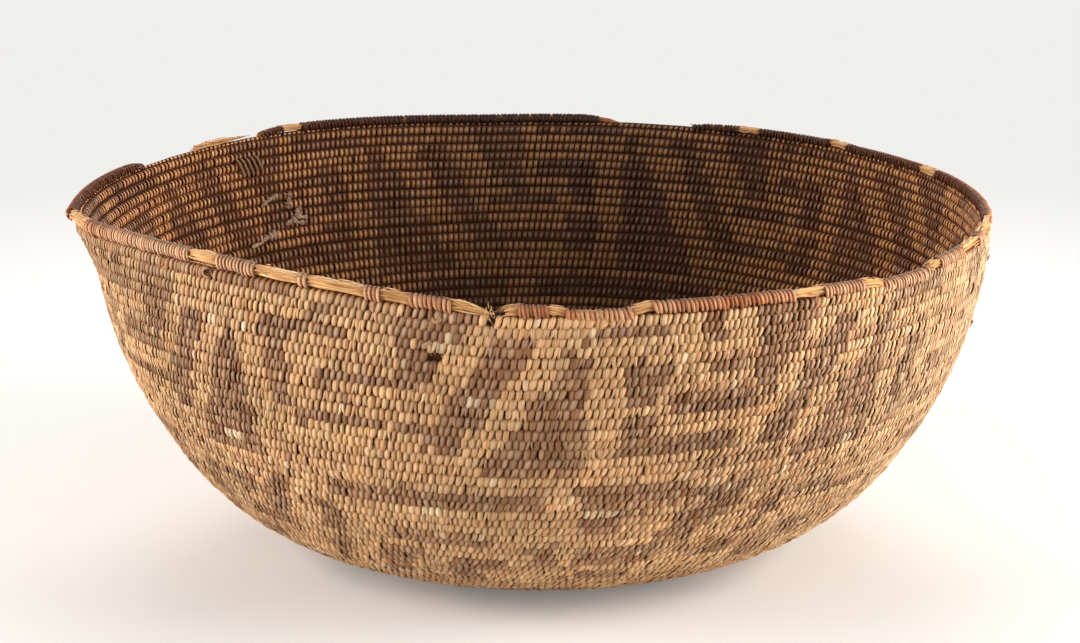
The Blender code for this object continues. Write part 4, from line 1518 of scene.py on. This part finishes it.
# Splints that have come loose and curled: azimuth, rounds down, radius, and the arc in degrees
LOOPS = (
    (-42.4, 1.5, 0.0021, 60, 300),
    (-11.8, 1.7, 0.0017, 170, 395),
    (-12.9, 4.2, 0.0016, 30, 230),
    (7.5, 3.4, 0.0026, 60, 150),
    (80.0, 4.0, 0.0018, -60, 170),
    (78.0, 10.0, 0.0020, 0, 210),
    (-86.0, 0.2, 0.0016, 150, 330),
)
# Half a strip's width, its thickness as a share of that, and how far its middle stands out
LOOP_WIDTH = 0.0008
LOOP_THICKNESS = 0.35
LOOP_RISE = 0.0009


def loops():
    """Flat strips bent into arcs on the outer wall, standing out most in the middle."""
    share = np.linspace(0, 1, 18)
    azimuth, down, radius, first, last = (column[:, None] for column in np.array(LOOPS).T)
    angle = np.radians(first + (last - first) * share)
    middle, outward, upward, around = on_wall(down, azimuth)
    ray = np.cos(angle)[..., None] * around + np.sin(angle)[..., None] * upward
    out = ON_STITCHES + LOOP_RISE * np.sin(math.pi * share)
    middle = middle + out[:, None] * outward + radius[..., None] * ray
    wide = LOOP_WIDTH * np.clip(6 * np.minimum(share, 1 - share), 0.3, 1)
    return tubes(middle, wide, ray, LOOP_THICKNESS * wide, outward, 6)


def fibre_field():
    """Short fibres scattered over the outside, and tufts a little above the worn places."""
    parts = [fibres(FIBRES, (0, 360, 0.6, 34), 0.0045, 0.7, 0.35)]
    for first, last, top, bottom in LOST_STITCHES:
        parts.append(fibres(TUFT, (first, last, top - 0.2, bottom - 0.2), 0.005, 0.9, 0.4))
    return np.concatenate(parts)


loose = fibre_field()
add_strands("loose_fibres", loose, GOLDEN, {
    "tone": chance.normal(0.2, 0.3, len(loose)).clip(-1, 1),
    "depth": chance.choice([0.0, 0.0, 0.5], len(loose)),
    "splint_seed": chance.random(len(loose)),
})

loop_shapes = loops()
add_strands("loosened_splints", loop_shapes, LOOSENED, {
    "tone": chance.uniform(-0.3, 0.3, len(loop_shapes)), "depth": 0.2,
    "splint_seed": chance.random(len(loop_shapes)),
})

# %% [markdown]
# The camera stands where the photograph was taken from, as the fitted outline gave it: a long lens,
# some fifteen degrees above the level. It is turned by a few pixels of the photograph, so that the
# bowl lies in the picture as it does there.

# %% The camera
CAMERA_DISTANCE = 1.65
CAMERA_ELEVATION = 15.223
# The lens in millimetres on a sensor 36 wide, and in pixels of the photograph
LENS = 110.62
PIXEL_LENS = 3318.62
# The aim, moved by some pixels
AIM_UP = math.degrees(math.atan(42.1 / PIXEL_LENS))
AIM_LEFT = math.degrees(math.atan(1.0 / PIXEL_LENS))

view = bpy.data.cameras.new("camera")
view.lens = LENS
view.sensor_width = 36
camera = in_scene("camera", view)
tilt = math.radians(CAMERA_ELEVATION)
back, above = CAMERA_DISTANCE * math.cos(tilt), CAMERA_DISTANCE * math.sin(tilt)
camera.location = (0.0, -back, HEIGHT / 2 + above)
camera.rotation_euler = (math.radians(90 - CAMERA_ELEVATION + AIM_UP), 0.0, math.radians(AIM_LEFT))
bpy.context.scene.camera = camera
print(f"the camera is {CAMERA_DISTANCE} m away, {CAMERA_ELEVATION:.0f} degrees above the level")

# %% [markdown]
# The basket stands on a plain pale floor. Close to it the floor is an ordinary matt surface, so it
# keeps the basket's soft shadow. Further away it turns into an even pale background: there it
# gives its own colour to whatever looks at it, and light has no part in it.

# %% The floor
FLOOR_PALE = linear(240, 239, 237)
FLOOR_MATT = linear(233, 231, 227)
# Half the floor's side, how far it is matt, where it is an even pale, and its glow where matt
FLOOR_HALF = 8.0
FLOOR_NEAR = 0.30
FLOOR_FAR = 0.95
FLOOR_GLOW = 0.16


def seen_directly(tree):
    """1 for a ray that comes from the camera, or by a mirror or glass, and 0 for other light."""
    path = node(tree, "ShaderNodeLightPath")
    seen = path.outputs["Is Camera Ray"]
    for name in ("Is Glossy Ray", "Is Transmission Ray"):
        seen = maths(tree, "MAXIMUM", seen, path.outputs[name])
    return seen


def floor_material():
    """Matt near the basket, and an even pale background further away, in rings round the axis."""
    material, tree, shader = new_material("plain_floor")
    plug(tree, FLOOR_MATT, shader.inputs["Base Color"])
    plug(tree, 0.9, shader.inputs["Roughness"])
    plug(tree, 0.1, shader.inputs["Specular IOR Level"])
    place = node(tree, "ShaderNodeTexCoord")
    reach = node(tree, "ShaderNodeVectorMath", operation="LENGTH")
    plug(tree, place.outputs["Object"], reach.inputs[0])
    share = scaled(tree, reach.outputs["Value"], FLOOR_NEAR, FLOOR_FAR, 0.0, 1.0)
    share.node.interpolation_type = "SMOOTHSTEP"
    seen = seen_directly(tree)
    glow = node(tree, "ShaderNodeEmission", Color=FLOOR_PALE)
    plug(tree, maths(tree, "MULTIPLY", seen, FLOOR_GLOW), glow.inputs["Strength"])
    near = node(tree, "ShaderNodeAddShader")
    plug(tree, shader.outputs[0], near.inputs[0])
    plug(tree, glow.outputs[0], near.inputs[1])
    even = node(tree, "ShaderNodeEmission", Color=FLOOR_PALE, Strength=1.0)
    blend = node(tree, "ShaderNodeMixShader")
    plug(tree, maths(tree, "MULTIPLY", share, seen), blend.inputs[0])
    plug(tree, near.outputs[0], blend.inputs[1])
    plug(tree, even.outputs[0], blend.inputs[2])
    plug(tree, blend.outputs[0], tree.nodes["Material Output"].inputs["Surface"])
    return material


def floor_plane():
    """One large square at the height of the basket's foot."""
    low, high = -FLOOR_HALF, FLOOR_HALF
    mesh = bpy.data.meshes.new("floor")
    mesh.from_pydata([(low, low, 0), (high, low, 0), (high, high, 0), (low, high, 0)], [], [(0, 1, 2, 3)])
    mesh.materials.append(floor_material())
    floor = in_scene("floor", mesh)


floor_plane()
print("the floor is matt within", FLOOR_NEAR, "m of the basket's axis")

# %% [markdown]
# Two soft lights stand low at the sides, as in the photograph, so every stitch is modelled by
# light that grazes it, and the inside of the bowl stays darker. A third one behind serves the
# views from the back, and a dim even surround fills the shadows.

# %% The light
LAMP_SIZE = 1.1
SURROUND = 0.22
# Each lamp's azimuth and elevation in degrees, its distance in metres and its power in watts
LAMPS = {
    "left_light": (-72, 20, 1.6, 26),
    "right_light": (76, 20, 1.6, 33),
    "back_light": (180, 30, 1.7, 18),
}


def soft_light(name, azimuth, elevation, distance, power):
    """A square soft light that faces the bowl from this side."""
    light = bpy.data.lights.new(name, "AREA")
    light.size = LAMP_SIZE
    light.energy = power
    turn, rise = math.radians(azimuth), math.radians(elevation)
    level, above = distance * math.cos(rise), distance * math.sin(rise)
    lamp = in_scene(name, light)
    lamp.location = (level * math.sin(turn), -level * math.cos(turn), HEIGHT / 2 + above)
    lamp.rotation_euler = (math.pi / 2 - rise, 0.0, turn)


for name, values in LAMPS.items():
    soft_light(name, *values)

world = bpy.data.worlds.new("studio")
world.use_nodes = True
background = world.node_tree.nodes["Background"]
background.inputs["Color"].default_value = linear(255, 255, 255)
background.inputs["Strength"].default_value = SURROUND
bpy.context.scene.world = world
bpy.context.scene.view_settings.view_transform = "Standard"
print("lights:", ", ".join(LAMPS))
